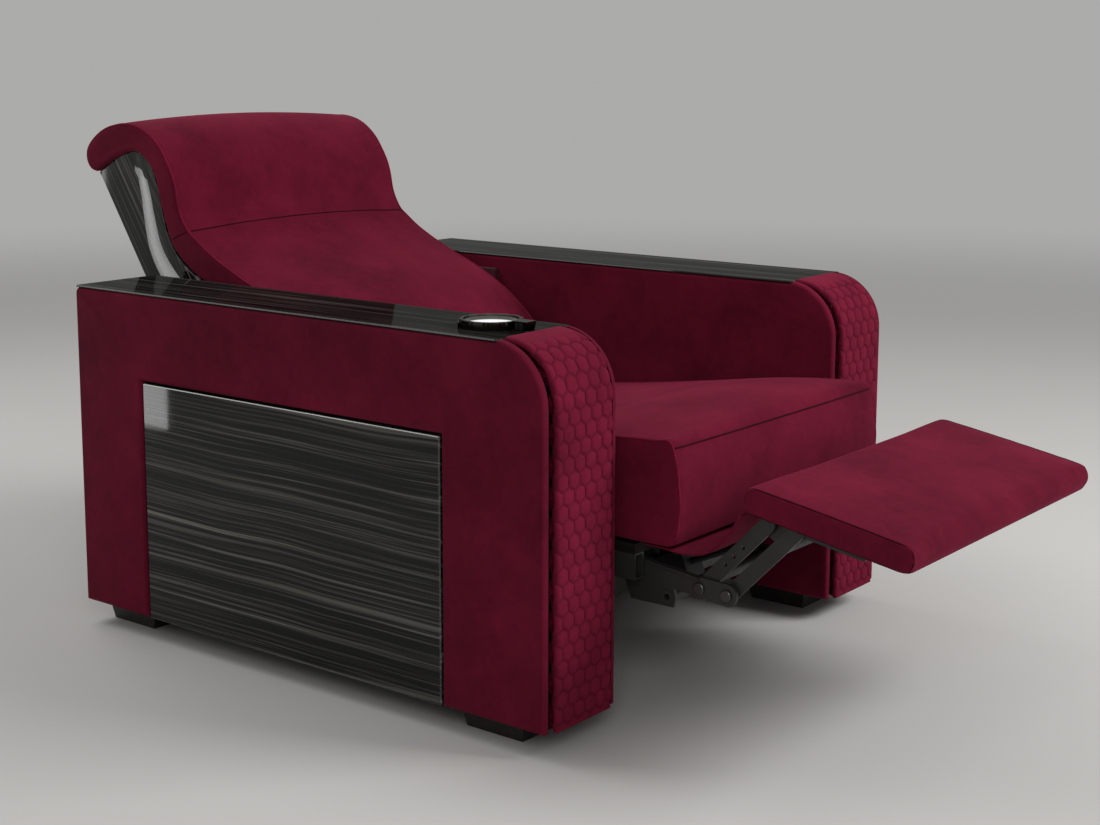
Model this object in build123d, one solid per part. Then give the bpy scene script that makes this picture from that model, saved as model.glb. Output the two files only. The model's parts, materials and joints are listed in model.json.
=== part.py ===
"""A cinema recliner seat: two upholstered arms on a low base, a seat that glides between them, a back
hinged to the seat, and a footrest on folding links.

Millimetres. X runs across the seat (the sitter's left is +X), -Y is the front and +Z is up. While it is
modelled, y = 0 lies on the front of the arms; every piece is then moved along Y so that the origin lies
under the middle of the whole seat. The pose is reclined, with the footrest out.
"""
import os
from math import atan2, cos, degrees, hypot, radians, sin

from build123d import *

# ---------------------------------------------------------------- whole seat
WIDTH = 1000
FOOT_HEIGHT = 40
GAP = 0.5                # between pieces that move past each other
FIT = 0.05               # radial play of a pin in its hole

# ---------------------------------------------------------------- arms
ARM_WIDTH = 179
ARM_LENGTH = 1040
ARM_TOP = 609
NOSE_RADIUS = 95         # round from the front of an arm to its top
OUTER_PAD = 14           # upholstery outside the arm's boards
INNER_PAD = 12
END_PAD = 12             # upholstery at the front and rear of an arm
GROOVE = 9               # shadow gap beside the quilted front
BOARD = 15               # plywood
PAD_EDGE = 5             # soft round on the pads' edges
CAP_LIP = 3              # part of the cap that lies over the pads
CAP_CORE = 13
CAP_FRONT = 87
CAP_MARGIN = 0.5
CAP_CORNER = 6
CAP_CHAMFER = 1.8
PANEL_FRONT = 195
PANEL_REAR = 867
PANEL_TOP = 454
PANEL_THICKNESS = 12
PANEL_INSET = 2
PANEL_GAP = 2.5
PANEL_CHAMFER = 2
FOOT_LENGTH = 122
FOOT_WIDTH = 104
FOOT_TAPER = 7
FOOT_INSET = 38          # from the arm's outer face
FOOT_FRONT = 65
FOOT_REAR_INSET = 16     # from the arm's rear face

# ---------------------------------------------------------------- cup holder and control tab
CUP_CENTRE_Y = 172
CUP_OFFSET = 5.5         # from the arm's middle line, towards the seat
CUP_RING_RADIUS = 50
CUP_RING_HEIGHT = 12
CUP_RING_SKIRT = 7       # plain lower part of the ring
CUP_RADIUS = 38
CUP_DEPTH = 62
CUP_WALL = 1.5
CUP_LIP = 4
CUP_LIP_DROP = 2         # of the liner's lip below the ring's rim
CUP_RIM_STEP = 2         # between the ring's skirt and its rim
CUP_LOBES = 12
CUP_LOBE_CUT = 5
CUP_MAT = 3
TAB_LENGTH = 26
TAB_WIDTH = 24
TAB_HEIGHT = 14
TAB_TAPER = 3.5
TAB_FRAME = 1.6
TAB_RECESS = 5
BUTTON_TRAVEL = 1.2
BUTTON_PROUD = 1.6
BUTTON_STEM_LENGTH = 6
BUTTON_STEM_RADIUS = 1.5

# ---------------------------------------------------------------- base
ARM_FLOOR = 18           # plywood at the bottom of an arm
CROSS_TUBE = (50, 40)    # along Y, along Z
CROSS_TUBE_BOTTOM = 60
FRONT_TUBE_Y = 300
TUBE_WALL = 2
CHANNEL_DEPTH = 18
CHANNEL_WALL = 2.5
CHANNEL_INSET = 2        # above and below, within the side rail's height
CHANNEL_FRONT = 70
CHANNEL_REAR = 762
GLIDE_TRAVEL = 100
GLIDE_LENGTH = 60
GLIDE_FRONT_Y = 90
GLIDE_MARGIN = 10        # to the channel's rear end when the seat is back

# ---------------------------------------------------------------- seat frame
RAIL_CLEARANCE = 20      # between a side rail and an arm
RAIL_WIDTH = 22
RAIL_HEIGHT = 40
RAIL_TOP = 269
RAIL_FRONT = -20
RAIL_REAR = 612
DECK_THICKNESS = 16
DECK_REAR = 540
DECK_SIDE = 101          # width of the deck's side boards
DECK_OPENING = 380       # between its front and rear boards
DECK_OPENING_Y = 300
STRAP_WIDTH = 50
STRAP = 2
STRAP_OVERLAP = 15       # of a strap on the deck's boards
STRAPS_ALONG = 5
STRAPS_ACROSS = 4
CROSS_RAIL_WIDTH = 25
FRONT_CROSS_RAIL_Y = 162
REAR_CROSS_RAIL_Y = 590

# ---------------------------------------------------------------- seat cushion
SEAT_SIDE_GAP = 15       # between the cushion and an arm
SEAT_SIDE_ROUND = 9
SEAT_CROWN = 14
SEAT_FRONT = -104
SEAT_FRONT_TOP = 440
SEAT_HEEL = [(36, 0), (13, 6), (3, 22)]        # from its front and its underside
SEAT_BULGE = 12          # of its fullest place above half its height
SEAT_EDGE = [(11, 0), (18, 15), (36, 20)]      # from its front and its front's top
SEAT_CREST = (-14, 466)
SEAT_DISH = [(126, 16), (300, 42)]             # place, and drop below the crest
SEAT_REAR_TOP = 384
SEAT_REAR_ROUND = 14

# ---------------------------------------------------------------- back
HINGE = (580, 400)
RECLINE = 33             # degrees from the photographed pose to upright
BACK_SIDE_GAP = 30       # between the back's cushions and an arm
BACK_SIDE_ROUND = 8
BACK_CROWN = 12
SHELL_RECESS = 9         # of the shells behind the cushions' sides
SHELL_THICKNESS = 10
BACK_BOARD = 18
BACK_BOARD_INSET = 12
HINGE_CLEARANCE = 24     # round the hinge, kept free of the cushion
NECK_LENGTH = 140        # of the back boards at the hinge
EAR_RADIUS = 18
EAR_THICKNESS = 6
EAR_GAP = 2              # between an ear and a shell
EAR_BASE_LENGTH = 28
HINGE_PIN_RADIUS = 6
REAR_LINE_TOP = (1238, 784)
REAR_LINE_SLOPE = 56.7
REAR_LINE_LENGTH = 540
ROLLER_OFFSET = (200, 60)
ROLLER_RADIUS = 8
ROLLER_AXLE_RADIUS = 5
ROLLER_INSET = 2         # of the roller's face in the track
ROLLER_END_GAP = 3       # between the roller and the arm
ROLLER_COLLAR = 6
TRACK_PLAY = 0.6
TRACK_THICKNESS = 16
TRACK_MARGIN = 14
TRACK_STEP_COUNT = 6
BACK_RAIL = (80, 18)     # along the rear line, and through the back
BACK_RAIL_DOWN = (75, 300, 480)
BACK_PANEL = 10
BACK_STRAP_WIDTH = 40

# ---------------------------------------------------------------- footrest linkage
BAR_PIVOT = (23, 245.4)
LINK_PIVOT = (-117, 229)
PIVOT_SPACING = 47
SPACING_SLOPE = 3        # degrees down towards the front
LINK_LENGTH = 158
LINK_ANGLE = 46
LINK_WIDTH = 24
LINK_THICKNESS = 4.5
FOLD = 80                # degrees that the bars turn
BAR_HEIGHT = 34
BAR_THICKNESS = 5
BAR_FLANGE = 5.5
BAR_FLANGE_THICKNESS = 3
BAR_CLEARANCE = 6        # between a bar and a side rail
BAR_FLANGE_SETBACK = 46  # from the bar's pivot to its flange
BAR_EYE = 4              # metal round the crossbar
PIN_RADIUS = 5
BOLT_HEAD_RADIUS = 9
BOLT_HEAD = 5
PIVOT_PLATE_THICKNESS = 4
PIVOT_PLATE_RADIUS = 25
PIVOT_PLATE_TAIL = (60, 75)
CROSSBAR = (-60, 205)
CROSSBAR_RADIUS = 11
CROSSBAR_BORE = 5
OPEN_PIVOT_PLAY = 0.3
LINK_HOLE_RADIUS = 3
LINK_HOLE_SHARES = (0.37, 0.5, 0.64)

# ---------------------------------------------------------------- footrest
REST_LENGTH = 272
REST_SIDE_GAP = 12       # between the footrest and the line of an arm
REST_THICKNESS = 43
REST_CROWN = 4
REST_TILT = 10
REST_SIDE_ROUND = 7
REST_FRONT_ROUND = 9
REST_FRONT_BULGE = 3
REST_BOARD = 12
REST_BOARD_INSET = 16
BRACKET_DROP = 19        # rear pivot below the footrest's underside
BRACKET_SETBACK = 27     # rear pivot ahead of its rear edge
BRACKET_DEPTH = 22
BRACKET_LENGTH = 180
BRACKET_LOBE = 44
BRACKET_LEAF = 22
TIE_HEIGHT = 18
TIE_THICKNESS = 3
TIE_FROM_PIVOT = 22      # ahead of the bracket's rear pivot

# ---------------------------------------------------------------- drives
NUT_RADIUS_ARM = 45      # from the bars' pivot to the nut's line
NUT_SIZE = (26, 16, 22)
NUT_PIN_RADIUS = 4
NUT_SLOT_PLAY = 2.4
YOKE_THICKNESS = 4
YOKE_SIDE = 6            # metal beside the yoke's slot
YOKE_END = 4             # metal beyond the slot's end
SCREW_RADIUS = 6
MOTOR_RADIUS = 21
MOTOR_LENGTH = 96
GEARBOX = 48
RECLINE_SCREW_Z = 178
RECLINE_NUT = 34
SCREW_OVERRUN = 20       # of the seat's screw ahead of its nut
GEARBOX_CLEARANCE = 19.5 # between the nut and the gearbox when the seat is back
YOKE_CLEARANCE = 6       # between the crossbar's sweep and the footrest's gearbox
HANGER = 12

# ---------------------------------------------------------------- flap below the seat's front
FLAP_SIDE_GAP = 25       # between the flap and the line of an arm
FLAP_THICKNESS = 3

# ---------------------------------------------------------------- side views, as (y, z) points
# The front of the back's cushions, from its lower end to the seam below the head, and on over the roll.
BACK_FRONT = [
    (548, 413), (588, 449), (629, 483), (672, 524), (720, 558),
    (776, 587), (832, 610), (892, 636), (946, 664), (984, 691),
]
HEAD_FRONT = [
    (984, 691), (1003, 717), (1012, 750), (1020, 782), (1034, 808),
    (1064, 847), (1100, 871), (1138, 881), (1188, 878),
]
HEAD_REAR = [(1188, 878), (1236, 861), (1273, 829), (1272, 804), (1240, 785)]
HEAD_INNER = [(1240, 785), (1190, 812), (1135, 829), (1090, 806), (1068, 764), (1054, 716), (1036, 668)]
BACK_INNER = [
    (1036, 668), (1002, 632), (955, 604), (900, 580), (850, 556),
    (795, 530), (744, 504), (700, 470), (661, 436),
]
BACK_HEEL = [(618, 405), (572, 402)]
ROLL_REAR = 1275
# The flap, from under the seat to the footrest's rear edge.
FLAP_LINE = [
    (-30, 286.5), (-64, 284.5), (-98, 281), (-134, 285),
    (-158, 300), (-180, 326), (-192, 347), (-197, 359),
]

# ================================================================ worked out from the sizes above
ARM_OUT = WIDTH / 2
ARM_IN = ARM_OUT - ARM_WIDTH
BOARD_OUT = ARM_OUT - OUTER_PAD
BOARD_IN = ARM_IN + INNER_PAD
PAD_TOP = ARM_TOP - CAP_LIP
BOARD_TOP = PAD_TOP - CAP_CORE
ARM_REAR = ARM_LENGTH
BOARD_REAR = ARM_REAR - END_PAD
CUP_X = -(ARM_OUT - ARM_WIDTH / 2 - CUP_OFFSET)
RAIL_OUTER = ARM_IN - RAIL_CLEARANCE
RAIL_INNER = RAIL_OUTER - RAIL_WIDTH
RAIL_BOTTOM = RAIL_TOP - RAIL_HEIGHT
DECK_TOP = RAIL_TOP + DECK_THICKNESS
OPENING_HALF_WIDTH = RAIL_OUTER - DECK_SIDE
SEAT_BOTTOM = DECK_TOP + 2 * STRAP
SEAT_HALF_WIDTH = ARM_IN - SEAT_SIDE_GAP
BACK_HALF_WIDTH = ARM_IN - BACK_SIDE_GAP
REST_HALF_WIDTH = ARM_IN - REST_SIDE_GAP
FLAP_HALF_WIDTH = ARM_IN - FLAP_SIDE_GAP
BAR_OUTER = RAIL_INNER - BAR_CLEARANCE
BAR_INNER = BAR_OUTER - BAR_THICKNESS
REAR_LINK_OUTER = BAR_INNER - GAP
FRONT_LINK_OUTER = REAR_LINK_OUTER - LINK_THICKNESS - GAP
BRACKET_OUTER = FRONT_LINK_OUTER - LINK_THICKNESS - GAP
BRACKET_INNER = BRACKET_OUTER - LINK_THICKNESS
SHELL_OUTER = BACK_HALF_WIDTH - SHELL_RECESS
SHELL_INNER = SHELL_OUTER - SHELL_THICKNESS
EAR_INNER = SHELL_OUTER + EAR_GAP
BOARD_INNER = SHELL_INNER - BACK_BOARD
CHANNEL_Z = (RAIL_BOTTOM + CHANNEL_INSET, RAIL_TOP - CHANNEL_INSET)
REAR_RAIL_Y = (REAR_CROSS_RAIL_Y - CROSS_RAIL_WIDTH / 2, REAR_CROSS_RAIL_Y + CROSS_RAIL_WIDTH / 2)
GEARBOX_FRONT = REAR_RAIL_Y[1] + GLIDE_TRAVEL + GEARBOX_CLEARANCE
CROSS_TUBE_Y = (FRONT_TUBE_Y, GEARBOX_FRONT + GEARBOX / 2)
TAB_REAR = CUP_CENTRE_Y - CUP_RING_RADIUS - GAP
TAB_FRONT = TAB_REAR - TAB_LENGTH
TAB_OUTER = CUP_X - TAB_WIDTH / 2


def polar(origin, length, angle):
    """The point at a length and an angle in degrees from another, in the side view."""
    return (origin[0] + length * cos(radians(angle)), origin[1] + length * sin(radians(angle)))


def turned(point, centre, angle):
    """A point of the side view, turned about another by an angle in degrees."""
    dy, dz = point[0] - centre[0], point[1] - centre[1]
    c, s = cos(radians(angle)), sin(radians(angle))
    return (centre[0] + dy * c - dz * s, centre[1] + dy * s + dz * c)


SPACING = (-PIVOT_SPACING * cos(radians(SPACING_SLOPE)), -PIVOT_SPACING * sin(radians(SPACING_SLOPE)))
LINK_PIVOT_2 = (LINK_PIVOT[0] + SPACING[0], LINK_PIVOT[1] + SPACING[1])
REST_PIVOT = polar(LINK_PIVOT, LINK_LENGTH, 180 - LINK_ANGLE)
REST_PIVOT_2 = (REST_PIVOT[0] + SPACING[0], REST_PIVOT[1] + SPACING[1])
REST_CORNER = polar(polar(REST_PIVOT, BRACKET_DROP, 90 + REST_TILT), BRACKET_SETBACK, REST_TILT)


def on_rest(along, above):
    """A point of the side view, from the footrest's rear bottom edge: along it and above its underside."""
    return polar(polar(REST_CORNER, along, 180 + REST_TILT), above, 90 + REST_TILT)


def on_rear_line(down, inward):
    """A point of the side view, from the top of the back's straight rear edge."""
    return polar(polar(REAR_LINE_TOP, down, 180 + REAR_LINE_SLOPE), inward, 90 + REAR_LINE_SLOPE)


REST_FRONT = on_rest(REST_LENGTH + REST_FRONT_BULGE, 0)[0]
MIDDLE = (REST_FRONT + ROLL_REAR) / 2


# ================================================================ helpers
def outline(start, *steps):
    """A closed face in the side view. A step is a point for a line, or a middle and an end for an arc."""
    edges, here = [], start
    for step in steps:
        if isinstance(step[0], tuple):
            edges.append(ThreePointArc(here, step[0], step[1]))
            here = step[1]
        else:
            edges.append(Line(here, step))
            here = step
    edges.append(Line(here, start))
    return make_face(edges)


def prism(face, low, high):
    """The side-view face as a solid from one x to another."""
    return extrude(Plane.YZ.offset(low) * face, high - low)


def block(x, y, z):
    """A box from three (low, high) pairs."""
    size = [high - low for low, high in (x, y, z)]
    middle = [(high + low) / 2 for low, high in (x, y, z)]
    return Pos(*middle) * Box(*size)


def rod(centre, radius, low, high):
    """A round bar along X at a point of the side view."""
    return Plane.YZ.offset(low) * Pos(*centre) * extrude(Circle(radius), high - low)


def tilted_block(centre, angle, length, thickness, low, high):
    """A bar along X whose side view is a rectangle, its length at an angle to Y."""
    face = Pos(*centre) * Rot(0, 0, angle) * Rectangle(length, thickness)
    return prism(face, low, high)


def flipped(shape):
    """The same piece for the sitter's right."""
    return mirror(shape, about=Plane.YZ)


def pair(shape):
    """Both sides' pieces in one node."""
    return Compound([*shape.solids(), *flipped(shape).solids()])


def group(*shapes):
    """Separate solids in one node."""
    return Compound([solid for shape in shapes for solid in shape.solids()])


# ================================================================ arms
def arm_profile(inset, front_inset, top, rear):
    """The arm's side view, set back from its front, round and rear."""
    radius = NOSE_RADIUS - inset
    centre = (front_inset + radius, top - radius)
    corner = polar(centre, radius, 135)
    return outline(
        (front_inset, FOOT_HEIGHT),
        (front_inset, top - radius),
        (corner, (centre[0], top)),
        (rear, top),
        (rear, FOOT_HEIGHT),
    )


def soft_edges(shape, face_x):
    """Rounds the long edges of a pad at one of its side faces."""
    edges = [e for e in shape.edges() if abs(e.center().X - face_x) < 0.01]
    return fillet(edges, PAD_EDGE)


def cap_space():
    """The space that the cap's lip takes out of the pads."""
    return block((ARM_IN - 1, ARM_OUT + 1), (CAP_FRONT, ARM_REAR + 1), (PAD_TOP, ARM_TOP + 1))


def panel_space():
    return block(
        (BOARD_OUT - 1, ARM_OUT + 1),
        (PANEL_FRONT - PANEL_GAP, PANEL_REAR + PANEL_GAP),
        (FOOT_HEIGHT - 1, PANEL_TOP + PANEL_GAP),
    )


def outer_pad():
    pad = prism(arm_profile(0, 0, ARM_TOP, ARM_REAR), BOARD_OUT, ARM_OUT)
    pad = soft_edges(pad, ARM_OUT)
    return pad - panel_space() - cap_space()


def inner_pad():
    pad = prism(arm_profile(0, 0, ARM_TOP, ARM_REAR), ARM_IN, BOARD_IN)
    return soft_edges(pad, ARM_IN) - cap_space()


def nose_band():
    """The quilted front: a band that runs up the front and over the round to the cap."""
    whole = arm_profile(0, 0, ARM_TOP, ARM_REAR)
    body = prism(whole, BOARD_IN + GROOVE, BOARD_OUT - GROOVE)
    for face_x in (BOARD_IN + GROOVE, BOARD_OUT - GROOVE):
        body = soft_edges(body, face_x)
    core = arm_profile(END_PAD, END_PAD, ARM_TOP - END_PAD, ARM_REAR)
    behind = block((0, ARM_OUT), (CAP_FRONT, ARM_REAR + 1), (0, ARM_TOP + 1))
    return body - prism(core, 0, ARM_OUT) - behind


def rear_pad():
    return block((BOARD_IN, BOARD_OUT), (BOARD_REAR, ARM_REAR), (FOOT_HEIGHT, PAD_TOP))


def arm_frame(with_cup):
    """Plywood boards: outer, inner, front, top, bottom and rear."""
    side = arm_profile(END_PAD, END_PAD, ARM_TOP - END_PAD, BOARD_REAR)
    middle, depth = (CAP_FRONT + ARM_REAR) / 2, ARM_TOP - BOARD_TOP
    side -= Pos(middle, ARM_TOP) * Rectangle(ARM_REAR - CAP_FRONT, 2 * depth)
    outer = prism(side, BOARD_OUT - BOARD, BOARD_OUT)
    inner = prism(side, BOARD_IN, BOARD_IN + BOARD)
    x = (BOARD_IN + BOARD, BOARD_OUT - BOARD)
    depth = END_PAD + BOARD
    ring = arm_profile(END_PAD, END_PAD, ARM_TOP - END_PAD, ARM_REAR)
    ring -= arm_profile(depth, depth, ARM_TOP - depth, ARM_REAR)
    front = prism(ring, *x) - block(x, (0, ARM_REAR), (0, FOOT_HEIGHT + ARM_FLOOR))
    front -= block(x, (CAP_FRONT, ARM_REAR + 1), (0, ARM_TOP))
    top = block(x, (CAP_FRONT, BOARD_REAR), (BOARD_TOP - BOARD, BOARD_TOP))
    if with_cup:
        hole = Pos(-CUP_X, CUP_CENTRE_Y, BOARD_TOP) * Cylinder(CUP_RADIUS + 2 * CUP_WALL, 4 * BOARD)
        top -= hole
    bottom = block(x, (END_PAD, BOARD_REAR), (FOOT_HEIGHT, FOOT_HEIGHT + ARM_FLOOR))
    rear = block(x, (BOARD_REAR - BOARD, BOARD_REAR), (FOOT_HEIGHT + ARM_FLOOR, BOARD_TOP - BOARD))
    return group(outer, inner, front, top, bottom, rear)


def arm_cap(with_cup):
    """The wood cap: a thin lip over the pads and a core let in between them."""
    width = ARM_WIDTH - 2 * CAP_MARGIN
    length = ARM_REAR - CAP_MARGIN - CAP_FRONT
    centre_x = (ARM_IN + ARM_OUT) / 2
    plan = Rectangle(width, length)
    plan = fillet(plan.vertices().group_by(Axis.Y)[-1], CAP_CORNER)
    lip = Pos(centre_x, CAP_FRONT + length / 2, PAD_TOP) * extrude(plan, CAP_LIP)
    lip = chamfer(lip.faces().sort_by(Axis.Z)[-1].edges(), CAP_CHAMFER)
    core = block((BOARD_IN, BOARD_OUT), (CAP_FRONT, BOARD_REAR), (BOARD_TOP, PAD_TOP))
    cap = lip + core
    if with_cup:
        cap -= Pos(-CUP_X, CUP_CENTRE_Y, ARM_TOP) * Cylinder(CUP_RADIUS + CUP_WALL, 4 * CAP_CORE)
    return cap


def side_panel():
    outer = ARM_OUT - PANEL_INSET
    panel = block((outer - PANEL_THICKNESS, outer), (PANEL_FRONT, PANEL_REAR), (FOOT_HEIGHT, PANEL_TOP))
    return chamfer(panel.faces().sort_by(Axis.X)[-1].edges(), PANEL_CHAMFER)


def foot(front):
    """A low block, wider at its top."""
    x = ARM_OUT - FOOT_INSET - FOOT_WIDTH / 2
    y = front + FOOT_LENGTH / 2
    top = Pos(x, y, FOOT_HEIGHT) * Rectangle(FOOT_WIDTH, FOOT_LENGTH)
    bottom = Pos(x, y, 0) * Rectangle(FOOT_WIDTH - 2 * FOOT_TAPER, FOOT_LENGTH - 2 * FOOT_TAPER)
    return loft([bottom, top], ruled=True)


def feet():
    return group(foot(FOOT_FRONT), foot(ARM_REAR - FOOT_REAR_INSET - FOOT_LENGTH))


# ================================================================ cup holder and control tab
def cup_ring():
    """A turned ring on the cap, its upper rim scalloped all round."""
    skirt = extrude(Circle(CUP_RING_RADIUS), CUP_RING_SKIRT)
    rim = extrude(Circle(CUP_RING_RADIUS - CUP_RIM_STEP), CUP_RING_HEIGHT)
    ring = skirt + rim
    for k in range(CUP_LOBES):
        angle = 360 * k / CUP_LOBES
        scallop = Pos(0, 0, CUP_RING_SKIRT) * extrude(Circle(CUP_LOBE_CUT), CUP_RING_HEIGHT)
        ring -= Rot(0, 0, angle) * Pos(CUP_RING_RADIUS, 0, 0) * scallop
    ring -= Cylinder(CUP_RADIUS + CUP_LIP, 4 * CUP_RING_HEIGHT)
    return Pos(CUP_X, CUP_CENTRE_Y, ARM_TOP) * ring


def cup_liner():
    """The polished cup with a flat lip inside the ring."""
    lip_top = CUP_RING_HEIGHT - CUP_LIP_DROP
    bottom = lip_top - CUP_DEPTH
    section = Polyline(
        (0, bottom),
        (CUP_RADIUS + CUP_WALL, bottom),
        (CUP_RADIUS + CUP_WALL, 0),
        (CUP_RADIUS + CUP_LIP, 0),
        (CUP_RADIUS + CUP_LIP, lip_top),
        (CUP_RADIUS, lip_top),
        (CUP_RADIUS, bottom + CUP_WALL),
        (0, bottom + CUP_WALL),
        close=True,
    )
    liner = revolve(Plane.XZ * make_face(section), Axis.Z)
    return Pos(CUP_X, CUP_CENTRE_Y, ARM_TOP) * liner


def cup_mat():
    bottom = ARM_TOP + CUP_RING_HEIGHT - CUP_LIP_DROP - CUP_DEPTH + CUP_WALL
    return Pos(CUP_X, CUP_CENTRE_Y, bottom) * extrude(Circle(CUP_RADIUS - GAP), CUP_MAT)


def tab_face(margin):
    """The control tab's outer face: wider at the top, drawn in by a margin. Local x is Y and y is Z."""
    low, high = TAB_FRONT, TAB_REAR
    bottom, top = ARM_TOP, ARM_TOP + TAB_HEIGHT
    lean = TAB_TAPER * (1 - margin / TAB_HEIGHT)
    return outline(
        (low + lean + margin, bottom + margin),
        (high - lean - margin, bottom + margin),
        (high - margin, top - margin),
        (low + margin, top - margin),
    )


def button_places():
    half = (TAB_LENGTH - 2 * TAB_TAPER - 2 * TAB_FRAME - 3 * GAP) / 2
    middle = (TAB_FRONT + TAB_REAR) / 2
    return half, (middle - GAP / 2 - half / 2, middle + GAP / 2 + half / 2)


def control_housing():
    """A small tab in front of the ring, with a framed recess for two push keys in its outer face."""
    body = prism(tab_face(0), TAB_OUTER, TAB_OUTER + TAB_WIDTH)
    recess = prism(tab_face(TAB_FRAME), TAB_OUTER - 1, TAB_OUTER + TAB_RECESS)
    body -= recess
    for y in button_places()[1]:
        centre = (y, ARM_TOP + TAB_HEIGHT / 2)
        reach = TAB_OUTER + TAB_RECESS + BUTTON_STEM_LENGTH + BUTTON_TRAVEL + GAP
        body -= rod(centre, BUTTON_STEM_RADIUS + FIT, TAB_OUTER + TAB_RECESS - 1, reach)
    return body


def button(index):
    """A key with its stem; it is pressed towards the middle of the seat."""
    half, places = button_places()
    centre = (places[index], ARM_TOP + TAB_HEIGHT / 2)
    height = TAB_HEIGHT - 2 * TAB_FRAME - 2 * GAP
    outer = TAB_OUTER - BUTTON_PROUD
    inner = TAB_OUTER + TAB_RECESS - BUTTON_TRAVEL - GAP
    key = prism(Pos(*centre) * Rectangle(half - GAP, height), outer, inner)
    stem = rod(centre, BUTTON_STEM_RADIUS, inner - 1, TAB_OUTER + TAB_RECESS + BUTTON_STEM_LENGTH)
    return key + stem


# ================================================================ base
def box_tube(x, y, z):
    """A rectangular tube along X."""
    whole = block(x, y, z)
    inside = [(low + TUBE_WALL, high - TUBE_WALL) for low, high in (y, z)]
    bore = block((x[0] - 1, x[1] + 1), *inside)
    return whole - bore


def base_cross_tubes():
    depth, height = CROSS_TUBE
    z = (CROSS_TUBE_BOTTOM, CROSS_TUBE_BOTTOM + height)
    return group(*[box_tube((-ARM_IN, ARM_IN), (y - depth / 2, y + depth / 2), z) for y in CROSS_TUBE_Y])


def slide_channel():
    """A C channel on the inner face of an arm; the seat's glides run in it."""
    y = (CHANNEL_FRONT, CHANNEL_REAR)
    whole = block((ARM_IN - CHANNEL_DEPTH, ARM_IN), y, CHANNEL_Z)
    z = (CHANNEL_Z[0] + CHANNEL_WALL, CHANNEL_Z[1] - CHANNEL_WALL)
    return whole - block((ARM_IN - CHANNEL_DEPTH - 1, ARM_IN - CHANNEL_WALL), (y[0] - 1, y[1] + 1), z)


def roller_path(share):
    """Where the back's roller is when the seat has moved back by a share of its travel."""
    at_rest = (HINGE[0] + ROLLER_OFFSET[0], HINGE[1] + ROLLER_OFFSET[1])
    y, z = turned(at_rest, HINGE, RECLINE * share)
    return (y + GLIDE_TRAVEL * share, z)


def recline_track():
    """A block on an arm with a curved slot; the back's roller climbs it as the seat glides back."""
    points = [roller_path(k / TRACK_STEP_COUNT) for k in range(TRACK_STEP_COUNT + 1)]
    low_y = min(p[0] for p in points) - TRACK_MARGIN - ROLLER_RADIUS
    high_y = max(p[0] for p in points) + TRACK_MARGIN + ROLLER_RADIUS
    low_z = points[0][1] - TRACK_MARGIN - ROLLER_RADIUS
    high_z = points[-1][1] + TRACK_MARGIN + ROLLER_RADIUS
    body = block((ARM_IN - TRACK_THICKNESS, ARM_IN), (low_y, high_y), (low_z, high_z))
    radius = ROLLER_RADIUS + TRACK_PLAY
    low, high = ARM_IN - TRACK_THICKNESS - 1, ARM_IN - GAP
    for here, there in zip(points, points[1:]):
        body -= rod(here, radius, low, high)
        dy, dz = there[0] - here[0], there[1] - here[1]
        run = hypot(dy, dz)
        middle = ((here[0] + there[0]) / 2, (here[1] + there[1]) / 2)
        body -= tilted_block(middle, degrees(atan2(dz, dy)), run, 2 * radius, low, high)
    return body - rod(points[-1], radius, low, high)


def seat_screw_bar(radius, front, rear):
    """A round bar on the line of the seat's screw."""
    return Plane.XZ.offset(-front) * Pos(0, RECLINE_SCREW_Z) * extrude(Circle(radius), front - rear)


def recline_screw():
    """The spindle that moves the seat."""
    return seat_screw_bar(SCREW_RADIUS, REAR_RAIL_Y[0] - SCREW_OVERRUN, GEARBOX_FRONT)


def recline_motor():
    """Gearbox on a stand on the rear cross tube, with its motor across the seat."""
    half = GEARBOX / 2
    middle, bottom = GEARBOX_FRONT + half, RECLINE_SCREW_Z - half
    gearbox = block((-half, half), (middle - half, middle + half), (bottom, bottom + GEARBOX))
    motor = rod((middle, RECLINE_SCREW_Z), MOTOR_RADIUS, half, half + MOTOR_LENGTH)
    stand_y = (middle - half / 2, middle + half / 2)
    stand = block((-half, half), stand_y, (CROSS_TUBE_BOTTOM + CROSS_TUBE[1], bottom))
    return gearbox + motor + stand


# ================================================================ seat frame
def seat_rail():
    """A rectangular tube along the seat's side."""
    x, z = (RAIL_INNER, RAIL_OUTER), (RAIL_BOTTOM, RAIL_TOP)
    whole = block(x, (RAIL_FRONT, RAIL_REAR), z)
    inside = (x[0] + TUBE_WALL, x[1] - TUBE_WALL), (z[0] + TUBE_WALL, z[1] - TUBE_WALL)
    return whole - block(inside[0], (RAIL_FRONT - 1, RAIL_REAR + 1), inside[1])


def seat_cross_rails():
    z = (RAIL_BOTTOM, RAIL_TOP)
    half = CROSS_RAIL_WIDTH / 2
    places = (FRONT_CROSS_RAIL_Y, REAR_CROSS_RAIL_Y)
    return group(*[box_tube((-RAIL_INNER, RAIL_INNER), (y - half, y + half), z) for y in places])


def seat_deck():
    """Four plywood boards under the cushion, with the straps' opening between them."""
    z = (RAIL_TOP, DECK_TOP)
    low, high = DECK_OPENING_Y - DECK_OPENING / 2, DECK_OPENING_Y + DECK_OPENING / 2
    front = block((-RAIL_OUTER, RAIL_OUTER), (RAIL_FRONT, low), z)
    rear = block((-RAIL_OUTER, RAIL_OUTER), (high, DECK_REAR), z)
    side = block((OPENING_HALF_WIDTH, RAIL_OUTER), (low, high), z)
    return group(front, rear, pair(side))


def spread(count, span):
    """Middles of equal shares of a span, about its own middle."""
    return [span * ((k + 0.5) / count - 0.5) for k in range(count)]


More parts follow.
